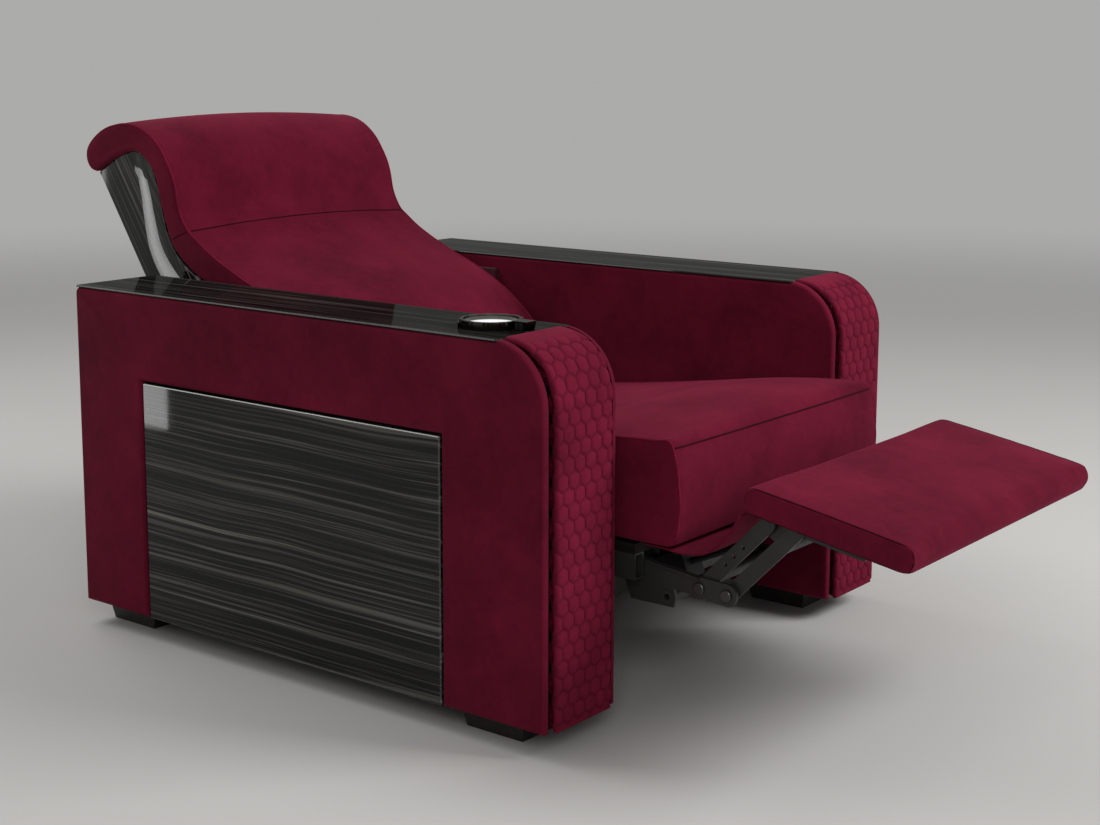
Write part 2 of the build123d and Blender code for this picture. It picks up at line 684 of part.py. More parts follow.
def seat_webbing():
    """Elastic straps over the deck's opening: some from front to rear, others across on top of them."""
    reach_x = OPENING_HALF_WIDTH + STRAP_OVERLAP
    reach_y = DECK_OPENING / 2 + STRAP_OVERLAP
    half = STRAP_WIDTH / 2
    straps = []
    for x in spread(STRAPS_ALONG, 2 * OPENING_HALF_WIDTH):
        y = (DECK_OPENING_Y - reach_y, DECK_OPENING_Y + reach_y)
        straps.append(block((x - half, x + half), y, (DECK_TOP, DECK_TOP + STRAP)))
    for offset in spread(STRAPS_ACROSS, DECK_OPENING):
        y = DECK_OPENING_Y + offset
        straps.append(block((-reach_x, reach_x), (y - half, y + half), (DECK_TOP + STRAP, SEAT_BOTTOM)))
    return group(*straps)


def pivot_plate():
    """A steel plate inside a side rail, drilled for the footrest bar's pivot."""
    y, z = BAR_PIVOT
    high = RAIL_TOP - TUBE_WALL
    low = z - PIVOT_PLATE_RADIUS
    face = Pos(y, z) * Circle(PIVOT_PLATE_RADIUS)
    near_tail, far_tail = PIVOT_PLATE_TAIL
    face += outline((y, high), (y, low), (y + near_tail, RAIL_BOTTOM), (y + far_tail, high))
    face -= Pos(y, high + PIVOT_PLATE_RADIUS) * Rectangle(4 * PIVOT_PLATE_RADIUS, 2 * PIVOT_PLATE_RADIUS)
    face -= Pos(y, z) * Circle(PIN_RADIUS + FIT)
    return prism(face, RAIL_INNER - PIVOT_PLATE_THICKNESS, RAIL_INNER)


def bar_pivot_pin():
    """A shouldered pin through the pivot plate and the bar, with a head on the bar's inner side."""
    head = rod(BAR_PIVOT, BOLT_HEAD_RADIUS, BAR_INNER - BOLT_HEAD, BAR_INNER - GAP)
    shank = rod(BAR_PIVOT, PIN_RADIUS, BAR_INNER - GAP, RAIL_INNER)
    return head + shank


def hinge_pin():
    """The back's hinge pin, from the ear through the shell and the board."""
    head = rod(HINGE, BOLT_HEAD_RADIUS, EAR_INNER + EAR_THICKNESS, EAR_INNER + EAR_THICKNESS + BOLT_HEAD)
    shank = rod(HINGE, HINGE_PIN_RADIUS, BOARD_INNER - BOLT_HEAD, EAR_INNER + EAR_THICKNESS)
    return head + shank


def seat_pivot_pins():
    return group(pair(bar_pivot_pin()), pair(hinge_pin()))


def hinge_ear():
    """A plate on a side rail that carries the back's hinge, leaning back to leave the cushion room."""
    base = (RAIL_REAR - EAR_BASE_LENGTH, RAIL_REAR)
    lean = degrees(atan2(HINGE[1] - RAIL_TOP, HINGE[0] - sum(base) / 2))
    front_side = polar(HINGE, EAR_RADIUS, lean + 90)
    rear_side = polar(HINGE, EAR_RADIUS, lean - 90)
    face = outline((base[0], RAIL_TOP), front_side, rear_side, (base[1], RAIL_TOP))
    face += hub(EAR_RADIUS) - hub(HINGE_PIN_RADIUS + FIT)
    face -= hub(HINGE_PIN_RADIUS + FIT)
    return prism(face, EAR_INNER, EAR_INNER + EAR_THICKNESS)


def glide(front):
    """A nylon block on a side rail, running inside the channel."""
    z = (CHANNEL_Z[0] + CHANNEL_WALL + GAP, CHANNEL_Z[1] - CHANNEL_WALL - GAP)
    return block((RAIL_OUTER, ARM_IN - CHANNEL_WALL - GAP), (front, front + GLIDE_LENGTH), z)


def seat_glides():
    rear = CHANNEL_REAR - GLIDE_TRAVEL - GLIDE_LENGTH - GLIDE_MARGIN
    return group(pair(glide(GLIDE_FRONT_Y)), pair(glide(rear)))


def recline_nut():
    """A block below the rear cross rail, on the spindle that moves the seat."""
    half = RECLINE_NUT / 2
    body = block((-half, half), REAR_RAIL_Y, (RECLINE_SCREW_Z - half, RAIL_BOTTOM))
    return body - seat_screw_bar(SCREW_RADIUS + FIT, REAR_RAIL_Y[0] - 1, REAR_RAIL_Y[1] + 1)


# ================================================================ soft pieces
def station(x, face):
    """A section of a soft piece at its place across the seat."""
    return Plane.YZ.offset(x) * face


SECTION_SHARES = (0.96, 0.85, 0.7, 0.52, 0.32, 0.12)


def lofted(section, half_width, side_round, crown):
    """A soft piece through sections across the seat: rounded at its sides and crowned in between."""
    half = [(half_width, side_round, 0), (half_width - 0.35 * side_round, 0.35 * side_round, 0)]
    half += [(half_width - side_round, 0.08 * side_round, 0)]
    half += [(half_width * share, 0, crown * (1 - share**2)) for share in SECTION_SHARES]
    places = [(-x, inset, rise) for x, inset, rise in half] + half[::-1]
    return loft([station(x, section(inset, rise)) for x, inset, rise in places], ruled=True)


def seat_section(inset, crown):
    """The seat cushion's side view, drawn in by an inset, its top raised by a crown."""
    front = SEAT_FRONT + inset
    base = SEAT_BOTTOM + inset * 0.3
    edge = SEAT_FRONT_TOP - inset
    top = SEAT_CREST[1] - SEAT_CROWN - inset + crown
    rear, rear_top = DECK_REAR - inset, SEAT_REAR_TOP - inset
    heel = [(front + dy, base + dz) for dy, dz in SEAT_HEEL]
    roll = [(front + dy, edge + dz) for dy, dz in SEAT_EDGE]
    roll[2] = (roll[2][0], roll[2][1] + (crown - SEAT_CROWN) * 0.4)
    dish = [(y, top - drop) for y, drop in SEAT_DISH]
    corner = (rear - SEAT_REAR_ROUND, rear_top - SEAT_REAR_ROUND)
    return outline(
        heel[0],
        (heel[1], heel[2]),
        ((front, (base + edge) / 2 + SEAT_BULGE), roll[0]),
        (roll[1], roll[2]),
        ((SEAT_CREST[0], top), dish[0]),
        (dish[1], (corner[0], rear_top)),
        (polar(corner, SEAT_REAR_ROUND, 45), (rear, corner[1])),
        (rear, base),
    )


def seat_cushion():
    return lofted(seat_section, SEAT_HALF_WIDTH, SEAT_SIDE_ROUND, SEAT_CROWN)


def moved_along_normal(points, amount):
    """The points, each moved to the left of its path by an amount."""
    moved = []
    for k, (y, z) in enumerate(points):
        before, after = points[max(k - 1, 0)], points[min(k + 1, len(points) - 1)]
        dy, dz = after[0] - before[0], after[1] - before[1]
        run = hypot(dy, dz)
        moved.append((y - dz / run * amount, z + dy / run * amount))
    return moved


def arcs(points):
    """Steps of an outline: arcs through the points, two at a time, and a line where one is left."""
    steps = [(points[k], points[k + 1]) for k in range(1, len(points) - 1, 2)]
    if len(points) % 2 == 0:
        steps.append(points[-1])
    return steps


def back_section(inset, crown):
    front = moved_along_normal(BACK_FRONT, crown - inset)
    front[0] = BACK_FRONT[0]
    return outline(front[0], *arcs(front), BACK_INNER[0], *arcs(BACK_INNER), *BACK_HEEL)


def head_section(inset, crown):
    front = moved_along_normal(HEAD_FRONT + HEAD_REAR[1:], crown - inset)
    front[0] = moved_along_normal(BACK_FRONT, crown - inset)[-1]
    front[-1] = HEAD_INNER[0]
    return outline(front[0], *arcs(front), *arcs(HEAD_INNER))


def back_cushion():
    cushion = lofted(back_section, BACK_HALF_WIDTH, BACK_SIDE_ROUND, BACK_CROWN)
    return cushion - rod(HINGE, HINGE_CLEARANCE, -ARM_IN, ARM_IN)


def head_cushion():
    return lofted(head_section, BACK_HALF_WIDTH, BACK_SIDE_ROUND, BACK_CROWN)


# ================================================================ back frame
def side_face(inset, first=0):
    """The side view of the back's sides, behind the cushions' inner curve, set in by an inset."""
    inner = moved_along_normal(HEAD_INNER + BACK_INNER[1:], GAP + inset)[first:]
    heel = (BACK_HEEL[0][0], BACK_HEEL[0][1] - GAP)
    hub_low = (HINGE[0], HINGE[1] - HINGE_CLEARANCE + GAP)
    low_rear = on_rear_line(REAR_LINE_LENGTH - inset, inset)
    top_rear = on_rear_line(1.2 * inset, inset)
    face = outline(top_rear, inner[0], *arcs(inner), heel, HINGE, hub_low, low_rear)
    return face + hub(HINGE_CLEARANCE - GAP) - hub(HINGE_PIN_RADIUS + FIT)


def hub(radius):
    return Pos(*HINGE) * Circle(radius)


def back_shell():
    """The glossy wooden side."""
    return prism(side_face(0), SHELL_INNER, SHELL_OUTER)


def back_board():
    """The plywood side inside a shell, which carries the hinge and the roller."""
    neck = Pos(HINGE[0] + NECK_LENGTH / 2, HINGE[1]) * Rectangle(NECK_LENGTH, 2 * NECK_LENGTH)
    neck = side_face(GAP) & neck
    face = side_face(BACK_BOARD_INSET, 2) - panel_face(GAP) + neck + hub(HINGE_CLEARANCE - GAP)
    return prism(face - hub(HINGE_PIN_RADIUS + FIT), BOARD_INNER, SHELL_INNER)


def back_cross_rails():
    """Plywood rails between the two boards, just inside the rear panel."""
    length, depth = BACK_RAIL
    inward = BACK_PANEL + depth / 2
    rails = []
    for down in BACK_RAIL_DOWN:
        centre = on_rear_line(down, inward)
        rails.append(tilted_block(centre, REAR_LINE_SLOPE, length, depth, -BOARD_INNER, BOARD_INNER))
    return group(*rails)


def panel_face(margin):
    low, depth = REAR_LINE_LENGTH, BACK_PANEL + margin
    return outline(on_rear_line(0, 0), on_rear_line(0, depth), on_rear_line(low, depth), on_rear_line(low, 0))


def back_panel():
    """The wooden rear of the back, between the shells."""
    return prism(panel_face(0), -SHELL_INNER, SHELL_INNER)


def back_webbing():
    """Straps from board to board, behind the back cushion."""
    line = moved_along_normal(BACK_INNER, 3 * STRAP)
    straps = []
    for k in range(2, len(line) - 1, 2):
        before, after = line[k - 1], line[k + 1]
        slope = degrees(atan2(before[1] - after[1], before[0] - after[0]))
        straps.append(tilted_block(line[k], slope, BACK_STRAP_WIDTH, STRAP, -BOARD_INNER, BOARD_INNER))
    return group(*straps)


def track_roller():
    """A roller on an axle in the back's side, running in the arm's track."""
    centre = roller_path(0)
    inner = ARM_IN - TRACK_THICKNESS + ROLLER_INSET
    axle = rod(centre, ROLLER_AXLE_RADIUS, SHELL_OUTER, inner)
    collar = rod(centre, ROLLER_RADIUS, SHELL_OUTER, SHELL_OUTER + ROLLER_COLLAR)
    roller = rod(centre, ROLLER_RADIUS, inner, ARM_IN - ROLLER_END_GAP)
    return axle + collar + roller


# ================================================================ footrest linkage
def pin_hole(centre, radius=PIN_RADIUS + FIT):
    return Pos(*centre) * Circle(radius)


def footrest_bar():
    """A flat bar from its pivot to the two links, with a flange folded out along its top."""
    y, z = LINK_PIVOT
    half = BAR_HEIGHT / 2
    nose = Pos(*LINK_PIVOT_2) * Circle(half)
    body = outline(
        (BAR_PIVOT[0], BAR_PIVOT[1] + half),
        (LINK_PIVOT[0], z + half),
        (LINK_PIVOT_2[0], LINK_PIVOT_2[1] + half),
        (LINK_PIVOT_2[0], LINK_PIVOT_2[1] - half),
        (BAR_PIVOT[0], BAR_PIVOT[1] - half),
    )
    heel = Pos(*BAR_PIVOT) * Circle(half)
    bracket = outline(
        (BAR_PIVOT[0], BAR_PIVOT[1] - half + 1),
        (CROSSBAR[0] - CROSSBAR_RADIUS, CROSSBAR[1] + half),
        (CROSSBAR[0] - CROSSBAR_RADIUS - BAR_EYE, CROSSBAR[1]),
        (CROSSBAR[0] - CROSSBAR_RADIUS, CROSSBAR[1] - CROSSBAR_RADIUS - BAR_EYE),
        (BAR_PIVOT[0] - half, CROSSBAR[1] - CROSSBAR_RADIUS - BAR_EYE),
    )
    face = nose + body + heel + bracket - pin_hole(CROSSBAR, CROSSBAR_RADIUS + FIT)
    face -= pin_hole(BAR_PIVOT) + pin_hole(LINK_PIVOT) + pin_hole(LINK_PIVOT_2)
    web = prism(face, BAR_INNER, BAR_OUTER)
    rise = (LINK_PIVOT[1] - BAR_PIVOT[1]) / (LINK_PIVOT[0] - BAR_PIVOT[0])
    rear_y = BAR_PIVOT[0] - BAR_FLANGE_SETBACK
    rear_z = BAR_PIVOT[1] + half + rise * (rear_y - BAR_PIVOT[0])
    flange = outline(
        (rear_y, rear_z),
        (y, z + half),
        (y, z + half - BAR_FLANGE_THICKNESS),
        (rear_y, rear_z - BAR_FLANGE_THICKNESS),
    )
    return web + prism(flange, BAR_OUTER, BAR_OUTER + BAR_FLANGE)


def drive_crossbar():
    """The tube that joins the two bars, open at its ends, with a slotted yoke for the drive's nut."""
    tube = rod(CROSSBAR, CROSSBAR_RADIUS, -BAR_OUTER - 2, BAR_OUTER + 2)
    tube -= rod(CROSSBAR, CROSSBAR_BORE, -BAR_OUTER - 3, BAR_OUTER + 3)
    low = NUT_SIZE[0] / 2 + GAP
    cheek = prism(yoke_face(), low, low + YOKE_THICKNESS)
    middle = rod(CROSSBAR, CROSSBAR_BORE, -low - YOKE_THICKNESS, low + YOKE_THICKNESS)
    return tube + middle + cheek + flipped(cheek)


def yoke_face():
    """A cheek from the crossbar towards the bars' pivot, with a radial slot."""
    dy, dz = CROSSBAR[0] - BAR_PIVOT[0], CROSSBAR[1] - BAR_PIVOT[1]
    angle = degrees(atan2(dz, dy))
    reach = hypot(dy, dz)
    half = NUT_PIN_RADIUS + NUT_SLOT_PLAY + YOKE_SIDE
    near = NUT_RADIUS_ARM - NUT_PIN_RADIUS - NUT_SLOT_PLAY - YOKE_END
    middle = polar(BAR_PIVOT, (near + reach) / 2, angle)
    face = Pos(*middle) * Rot(0, 0, angle) * Rectangle(reach - near, 2 * half)
    far = NUT_RADIUS_ARM / cos(radians(FOLD / 2))
    slot = SlotCenterToCenter(far - NUT_RADIUS_ARM + NUT_SLOT_PLAY, 2 * (NUT_PIN_RADIUS + NUT_SLOT_PLAY))
    return face - Pos(*polar(BAR_PIVOT, (NUT_RADIUS_ARM + far) / 2, angle)) * Rot(0, 0, angle) * slot


def link_bolt(centre, inner):
    """A shouldered bolt with its round head outside the bar and a collar on its inner end."""
    head = rod(centre, BOLT_HEAD_RADIUS, BAR_OUTER, BAR_OUTER + BOLT_HEAD)
    head = chamfer(head.edges().filter_by(GeomType.CIRCLE).group_by(Axis.X)[-1], 1.2)
    shank = rod(centre, PIN_RADIUS, inner - GAP, BAR_OUTER)
    collar = rod(centre, BOLT_HEAD_RADIUS - 2, inner - GAP - 2, inner - GAP)
    return head + shank + collar


def link_bolts():
    rear = link_bolt(LINK_PIVOT, REAR_LINK_OUTER - LINK_THICKNESS)
    front = link_bolt(LINK_PIVOT_2, FRONT_LINK_OUTER - LINK_THICKNESS)
    return group(pair(rear), pair(front))


def link(low_pivot, high_pivot, outer, high_play, holes):
    """A flat link with round ends."""
    centre = ((low_pivot[0] + high_pivot[0]) / 2, (low_pivot[1] + high_pivot[1]) / 2)
    face = Pos(*centre) * Rot(0, 0, 180 - LINK_ANGLE) * SlotCenterToCenter(LINK_LENGTH, LINK_WIDTH)
    face -= pin_hole(low_pivot) + pin_hole(high_pivot, PIN_RADIUS + high_play)
    for share in holes:
        face -= pin_hole(polar(low_pivot, LINK_LENGTH * share, 180 - LINK_ANGLE), LINK_HOLE_RADIUS)
    return prism(face, outer - LINK_THICKNESS, outer)


def rear_links():
    return pair(link(LINK_PIVOT, REST_PIVOT, REAR_LINK_OUTER, FIT, LINK_HOLE_SHARES))


def front_links():
    return pair(link(LINK_PIVOT_2, REST_PIVOT_2, FRONT_LINK_OUTER, OPEN_PIVOT_PLAY, ()))


# ================================================================ footrest
def rest_bracket():
    """A steel bracket under the footrest: a leaf on the board, a flange and a lobe for the links' pins."""
    start = BRACKET_SETBACK - LINK_WIDTH / 2
    lobe = along_rest(REST_PIVOT_2)
    flange = outline(
        on_rest(start, 0),
        on_rest(start, -BRACKET_DROP - LINK_WIDTH / 2 + 4),
        on_rest(start + 8, -BRACKET_LOBE + 6),
        on_rest(BRACKET_SETBACK + 16, -BRACKET_LOBE),
        on_rest(lobe + LINK_WIDTH / 2, -BRACKET_DEPTH),
        on_rest(BRACKET_LENGTH, -BRACKET_DEPTH),
        on_rest(BRACKET_LENGTH + BRACKET_DEPTH / 2, 0),
    )
    plate = prism(flange, BRACKET_INNER, BRACKET_OUTER)
    leaf = outline(
        on_rest(start, 0),
        on_rest(start, -LINK_THICKNESS / 2),
        on_rest(BRACKET_LENGTH, -LINK_THICKNESS / 2),
        on_rest(BRACKET_LENGTH, 0),
    )
    leaf = prism(leaf, BRACKET_INNER - BRACKET_LEAF, BRACKET_INNER)
    rear_pin = rod(REST_PIVOT, PIN_RADIUS, BRACKET_OUTER, REAR_LINK_OUTER + GAP)
    front_pin = rod(REST_PIVOT_2, PIN_RADIUS, BRACKET_OUTER, FRONT_LINK_OUTER + GAP)
    return plate + leaf + rear_pin + front_pin


def along_rest(point):
    """How far along the footrest a point of the side view lies."""
    dy, dz = point[0] - REST_CORNER[0], point[1] - REST_CORNER[1]
    return -dy * cos(radians(REST_TILT)) - dz * sin(radians(REST_TILT))


def footrest_brackets():
    """Both brackets, and the flat tie between their flanges."""
    near = BRACKET_SETBACK + TIE_FROM_PIVOT
    middle = on_rest(near + TIE_THICKNESS / 2, -BRACKET_DEPTH - TIE_HEIGHT / 4)
    tie = tilted_block(middle, REST_TILT, TIE_THICKNESS, TIE_HEIGHT, -BRACKET_INNER, BRACKET_INNER)
    bracket = rest_bracket()
    return bracket + flipped(bracket) + tie


def footrest_board():
    inset = REST_BOARD_INSET
    face = outline(
        on_rest(inset, 0),
        on_rest(REST_LENGTH - inset, 0),
        on_rest(REST_LENGTH - inset, REST_BOARD),
        on_rest(inset, REST_BOARD),
    )
    return prism(face, -REST_HALF_WIDTH + inset, REST_HALF_WIDTH - inset)


def rest_section(inset, crown):
    """The footrest pad's side view."""
    low, high = inset, REST_LENGTH - inset
    top = REST_THICKNESS - inset
    nose = high + REST_FRONT_BULGE
    turn = REST_FRONT_ROUND
    return outline(
        on_rest(low + 3, inset * 0.3),
        (on_rest(low, top / 2), on_rest(low + 3, top - 3)),
        (on_rest(low + 5, top), on_rest(low + 9, top)),
        (on_rest(REST_LENGTH * 0.5, top + 1 + crown), on_rest(high - 18, top)),
        (on_rest(high - 6, top - 2), on_rest(high - 1, top - 9)),
        (on_rest(nose, top * 0.45), on_rest(high - turn + 3, inset * 0.3)),
    )


def footrest_pad():
    """The padded top, wrapped round the board's edges."""
    return lofted(rest_section, REST_HALF_WIDTH, REST_SIDE_ROUND, REST_CROWN) - footrest_board()


# ================================================================ footrest drive
NUT_ANGLE = degrees(atan2(CROSSBAR[1] - BAR_PIVOT[1], CROSSBAR[0] - BAR_PIVOT[0])) + FOLD / 2
NUT_LINE = polar(BAR_PIVOT, NUT_RADIUS_ARM, NUT_ANGLE)
NUT_HALF_TRAVEL = NUT_RADIUS_ARM * sin(radians(FOLD / 2)) / cos(radians(FOLD / 2))
SCREW_DIRECTION = NUT_ANGLE + 90
NUT_REST = polar(NUT_LINE, -NUT_HALF_TRAVEL, SCREW_DIRECTION)
CROSSBAR_REACH = hypot(CROSSBAR[0] - BAR_PIVOT[0], CROSSBAR[1] - BAR_PIVOT[1])
SCREW_REAR = CROSSBAR_REACH * sin(radians(FOLD / 2)) + CROSSBAR_RADIUS + YOKE_CLEARANCE


def on_screw(along, across):
    """A point of the side view from the middle of the nut's travel."""
    return polar(polar(NUT_LINE, along, SCREW_DIRECTION), across, SCREW_DIRECTION + 90)


def bar_along_screw(start, end, radius):
    """A round bar on the screw's line."""
    here = on_screw(start, 0)
    axis = (0, cos(radians(SCREW_DIRECTION)), sin(radians(SCREW_DIRECTION)))
    plane = Plane(origin=(0, *here), x_dir=(1, 0, 0), z_dir=axis)
    return plane * extrude(Circle(radius), end - start)


def drive_nut():
    """The nut on the footrest's screw, with a pin in the yoke's slots."""
    width, along, across = NUT_SIZE
    body = tilted_block(NUT_REST, SCREW_DIRECTION, along, across, -width / 2, width / 2)
    body -= bar_along_screw(-NUT_HALF_TRAVEL - along, -NUT_HALF_TRAVEL + along, SCREW_RADIUS + FIT)
    reach = width / 2 + GAP + YOKE_THICKNESS + 2
    stub = rod(NUT_REST, NUT_PIN_RADIUS, SCREW_RADIUS + 3, reach)
    return body + stub + flipped(stub)


def footrest_motor():
    """Screw, gearbox and motor of the footrest's drive, hung from the front cross rail."""
    half = GEARBOX / 2
    screw = bar_along_screw(-NUT_HALF_TRAVEL - NUT_SIZE[1] / 2 - 1, SCREW_REAR + 1, SCREW_RADIUS)
    gearbox_centre = on_screw(SCREW_REAR + half, 0)
    gearbox = tilted_block(gearbox_centre, SCREW_DIRECTION, GEARBOX, GEARBOX, -half, half)
    motor = rod(gearbox_centre, MOTOR_RADIUS, half, half + MOTOR_LENGTH)
    hanger_y = (FRONT_CROSS_RAIL_Y - CROSS_RAIL_WIDTH / 2, FRONT_CROSS_RAIL_Y + CROSS_RAIL_WIDTH / 2)
    x = (-half / 2, half / 2)
    low, high = gearbox_centre[1] - HANGER / 2, gearbox_centre[1] + HANGER / 2
    hanger = block(x, hanger_y, (low, RAIL_BOTTOM))
    arm = block(x, (gearbox_centre[0], hanger_y[1]), (low, high))
    return screw + gearbox + motor + hanger + arm


# ================================================================ flap
def footrest_flap():
    """The cloth that hangs from the seat's front to the footrest's rear edge."""
    upper = FLAP_LINE
    lower = moved_along_normal(FLAP_LINE, FLAP_THICKNESS)
    face = outline(upper[0], *arcs(upper), lower[-1], *arcs(list(reversed(lower))))
    return prism(face, -FLAP_HALF_WIDTH, FLAP_HALF_WIDTH)


# ================================================================ every piece
def arms():
    pieces = {}
    for side, place in (("left", lambda s: s), ("right", flipped)):
        with_cup = side == "right"
        pieces[f"arm_frame_{side}"] = place(arm_frame(with_cup))
        pieces[f"arm_outer_pad_{side}"] = place(outer_pad())
        pieces[f"arm_inner_pad_{side}"] = place(inner_pad())
        pieces[f"arm_nose_quilt_{side}"] = place(nose_band())
        pieces[f"arm_rear_pad_{side}"] = place(rear_pad())
        pieces[f"arm_cap_{side}"] = place(arm_cap(with_cup))
        pieces[f"side_panel_{side}"] = place(side_panel())
        pieces[f"feet_{side}"] = place(feet())
    return pieces


def base():
    return {
        "cup_holder_ring": cup_ring(),
        "cup_holder_liner": cup_liner(),
        "cup_holder_mat": cup_mat(),
        "control_housing": control_housing(),
        "open_button": button(0),
        "close_button": button(1),
        "slide_channels": pair(slide_channel()),
        "recline_tracks": pair(recline_track()),
        "base_cross_tubes": base_cross_tubes(),
        "recline_motor": recline_motor(),
        "recline_screw": recline_screw(),
    }


def seat():
    rail = seat_rail()
    return {
        "seat_rail_left": rail,
        "seat_rail_right": flipped(rail),
        "seat_cross_rails": seat_cross_rails(),
        "seat_deck": seat_deck(),
        "seat_webbing": seat_webbing(),
        "pivot_plates": pair(pivot_plate()),
        "hinge_ears": pair(hinge_ear()),
        "seat_glides": seat_glides(),
        "seat_pivot_pins": seat_pivot_pins(),
        "recline_nut": recline_nut(),
        "footrest_motor": footrest_motor(),
        "seat_cushion": seat_cushion(),
        "footrest_flap": footrest_flap(),
    }


def back():
    board, shell = back_board(), back_shell()
    return {
        "back_board_left": board,
        "back_board_right": flipped(board),
        "back_shell_left": shell,
        "back_shell_right": flipped(shell),
        "back_cross_rails": back_cross_rails(),
        "back_panel": back_panel(),
        "back_webbing": back_webbing(),
        "track_rollers": pair(track_roller()),
        "back_cushion": back_cushion(),
        "head_cushion": head_cushion(),
    }


def footrest():
    bar = footrest_bar()
    return {
        "footrest_bar_left": bar,
        "footrest_bar_right": flipped(bar),
        "drive_crossbar": drive_crossbar(),
        "link_bolts": link_bolts(),
        "drive_nut": drive_nut(),
        "rear_links": rear_links(),
        "front_links": front_links(),
        "footrest_brackets": footrest_brackets(),
        "footrest_board": footrest_board(),
        "footrest_pad": footrest_pad(),
    }


def main():
    os.makedirs("parts", exist_ok=True)
    for pieces in (arms(), base(), seat(), back(), footrest()):
        for node, shape in pieces.items():
            export_step(Pos(0, -MIDDLE, 0) * shape, f"parts/{node}.step")


main()
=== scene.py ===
# %% [markdown]
# # A cinema recliner seat
#
# Two wide padded arms carry a seat that glides between them. The back is hinged to the seat, and a padded
# footrest is held out on flat steel links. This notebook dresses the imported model: it keeps every rigid
# piece where it is, gives each one its finish, and sews the upholstery over the plain padded solids.

import json
import math
from functools import partial

import bmesh
import bpy
import numpy as np
from mathutils import Matrix, Vector
from mathutils.bvhtree import BVHTree
from mathutils.kdtree import KDTree


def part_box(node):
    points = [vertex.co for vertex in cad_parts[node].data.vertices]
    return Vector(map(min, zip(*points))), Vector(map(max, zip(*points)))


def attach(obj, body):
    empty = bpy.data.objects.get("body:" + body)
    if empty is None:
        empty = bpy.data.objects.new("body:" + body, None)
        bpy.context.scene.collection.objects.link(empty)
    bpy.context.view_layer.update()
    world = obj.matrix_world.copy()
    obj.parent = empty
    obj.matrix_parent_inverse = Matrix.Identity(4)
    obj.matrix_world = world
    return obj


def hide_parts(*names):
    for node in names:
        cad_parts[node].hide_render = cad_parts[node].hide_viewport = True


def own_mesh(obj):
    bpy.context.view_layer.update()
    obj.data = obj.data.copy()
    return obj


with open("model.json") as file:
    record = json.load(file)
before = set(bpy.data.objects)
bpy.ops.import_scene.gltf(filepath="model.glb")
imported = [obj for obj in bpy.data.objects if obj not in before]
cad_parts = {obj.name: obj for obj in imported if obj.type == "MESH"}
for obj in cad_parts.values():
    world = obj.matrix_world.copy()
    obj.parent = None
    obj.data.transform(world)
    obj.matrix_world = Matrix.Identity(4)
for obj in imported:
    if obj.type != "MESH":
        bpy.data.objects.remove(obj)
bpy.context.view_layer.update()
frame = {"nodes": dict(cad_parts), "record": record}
MM = 0.001
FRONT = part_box("arm_outer_pad_left")[0][1]
print("front of the arms is at y =", round(FRONT, 4), "m")


def side_view(y, z, x=0.0):
    """A point given in millimetres from the front of the arms and from the floor."""
    return Vector((x * MM, FRONT + y * MM, z * MM))


def measured(node):
    """A node's two corners in the millimetres that side_view takes, each as x, y, z."""
    return [(x / MM, (y - FRONT) / MM, z / MM) for x, y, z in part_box(node)]


def configure(thing, **settings):
    """Sets some properties of a node, a modifier, a lamp and the like, and hands it back."""
    for name, value in settings.items():
        setattr(thing, name, value)
    return thing


def placed(name, data):
    """A new object in the scene."""
    thing = bpy.data.objects.new(name, data)
    bpy.context.scene.collection.objects.link(thing)
    return thing


def repaint(mesh, material):
    mesh.materials.clear()
    mesh.materials.append(material)


# %% [markdown]
# ## Node trees
#
# Finishes and repeated shapes are both node trees. A few small helpers keep them readable: one adds a node
# and joins its sockets, and the others do what comes back most, such as a sum, a noise or a mix of colours.

# %% Helpers for node trees
def add(tree, kind, links=None, **settings):
    """Adds a node. A link's value is another node's output socket, or a plain value."""
    node = configure(tree.nodes.new(kind), **settings)
    for socket, value in (links or {}).items():
        if isinstance(value, bpy.types.NodeSocket):
            tree.links.new(value, node.inputs[socket])
        else:
            node.inputs[socket].default_value = value
    return node


def calc(tree, operation, *values, clamp=False):
    node = add(tree, "ShaderNodeMath", dict(enumerate(values)), operation=operation, use_clamp=clamp)
    return node.outputs[0]


def vector_calc(tree, operation, *values):
    return add(tree, "ShaderNodeVectorMath", dict(enumerate(values)), operation=operation)


def noise(tree, vector, scale, detail, **inputs):
    links = {"Vector": vector, "Scale": scale, "Detail": detail, **inputs}
    return add(tree, "ShaderNodeTexNoise", links).outputs[0]


def mixed(tree, share, *colors):
    """A colour between two others, each a socket or three plain numbers."""
    first, second = [color if isinstance(color, bpy.types.NodeSocket) else (*color, 1) for color in colors]
    return add(tree, "ShaderNodeMix", {0: share, 6: first, 7: second}, data_type="RGBA").outputs[2]


def split(tree, vector):
    return add(tree, "ShaderNodeSeparateXYZ", {0: vector}).outputs


def ranged(tree, value, low, high, start=0.0, end=1.0, kind="LINEAR"):
    """Goes from start to end while the value goes from low to high."""
    links = {0: value, 1: low, 2: high, 3: start, 4: end}
    return add(tree, "ShaderNodeMapRange", links, interpolation_type=kind).outputs[0]


eased = partial(ranged, kind="SMOOTHSTEP")


def feed(tree, sockets, **outputs):
    """Joins outputs to the named sockets. An underscore stands for a space."""
    for name, output in outputs.items():
        tree.links.new(output, sockets[name.replace("_", " ")])


def group(name, kind, inputs, outputs):
    """A node group with named sockets. Each is (name, type) or (name, type, default)."""
    tree = bpy.data.node_groups.new(name, kind)
    for in_out, sockets in (("INPUT", inputs), ("OUTPUT", outputs)):
        for socket_name, socket_type, *default in sockets:
            socket = tree.interface.new_socket(socket_name, in_out=in_out, socket_type=socket_type)
            if default:
                socket.default_value = default[0]
    return tree, tree.nodes.new("NodeGroupInput").outputs, tree.nodes.new("NodeGroupOutput").inputs


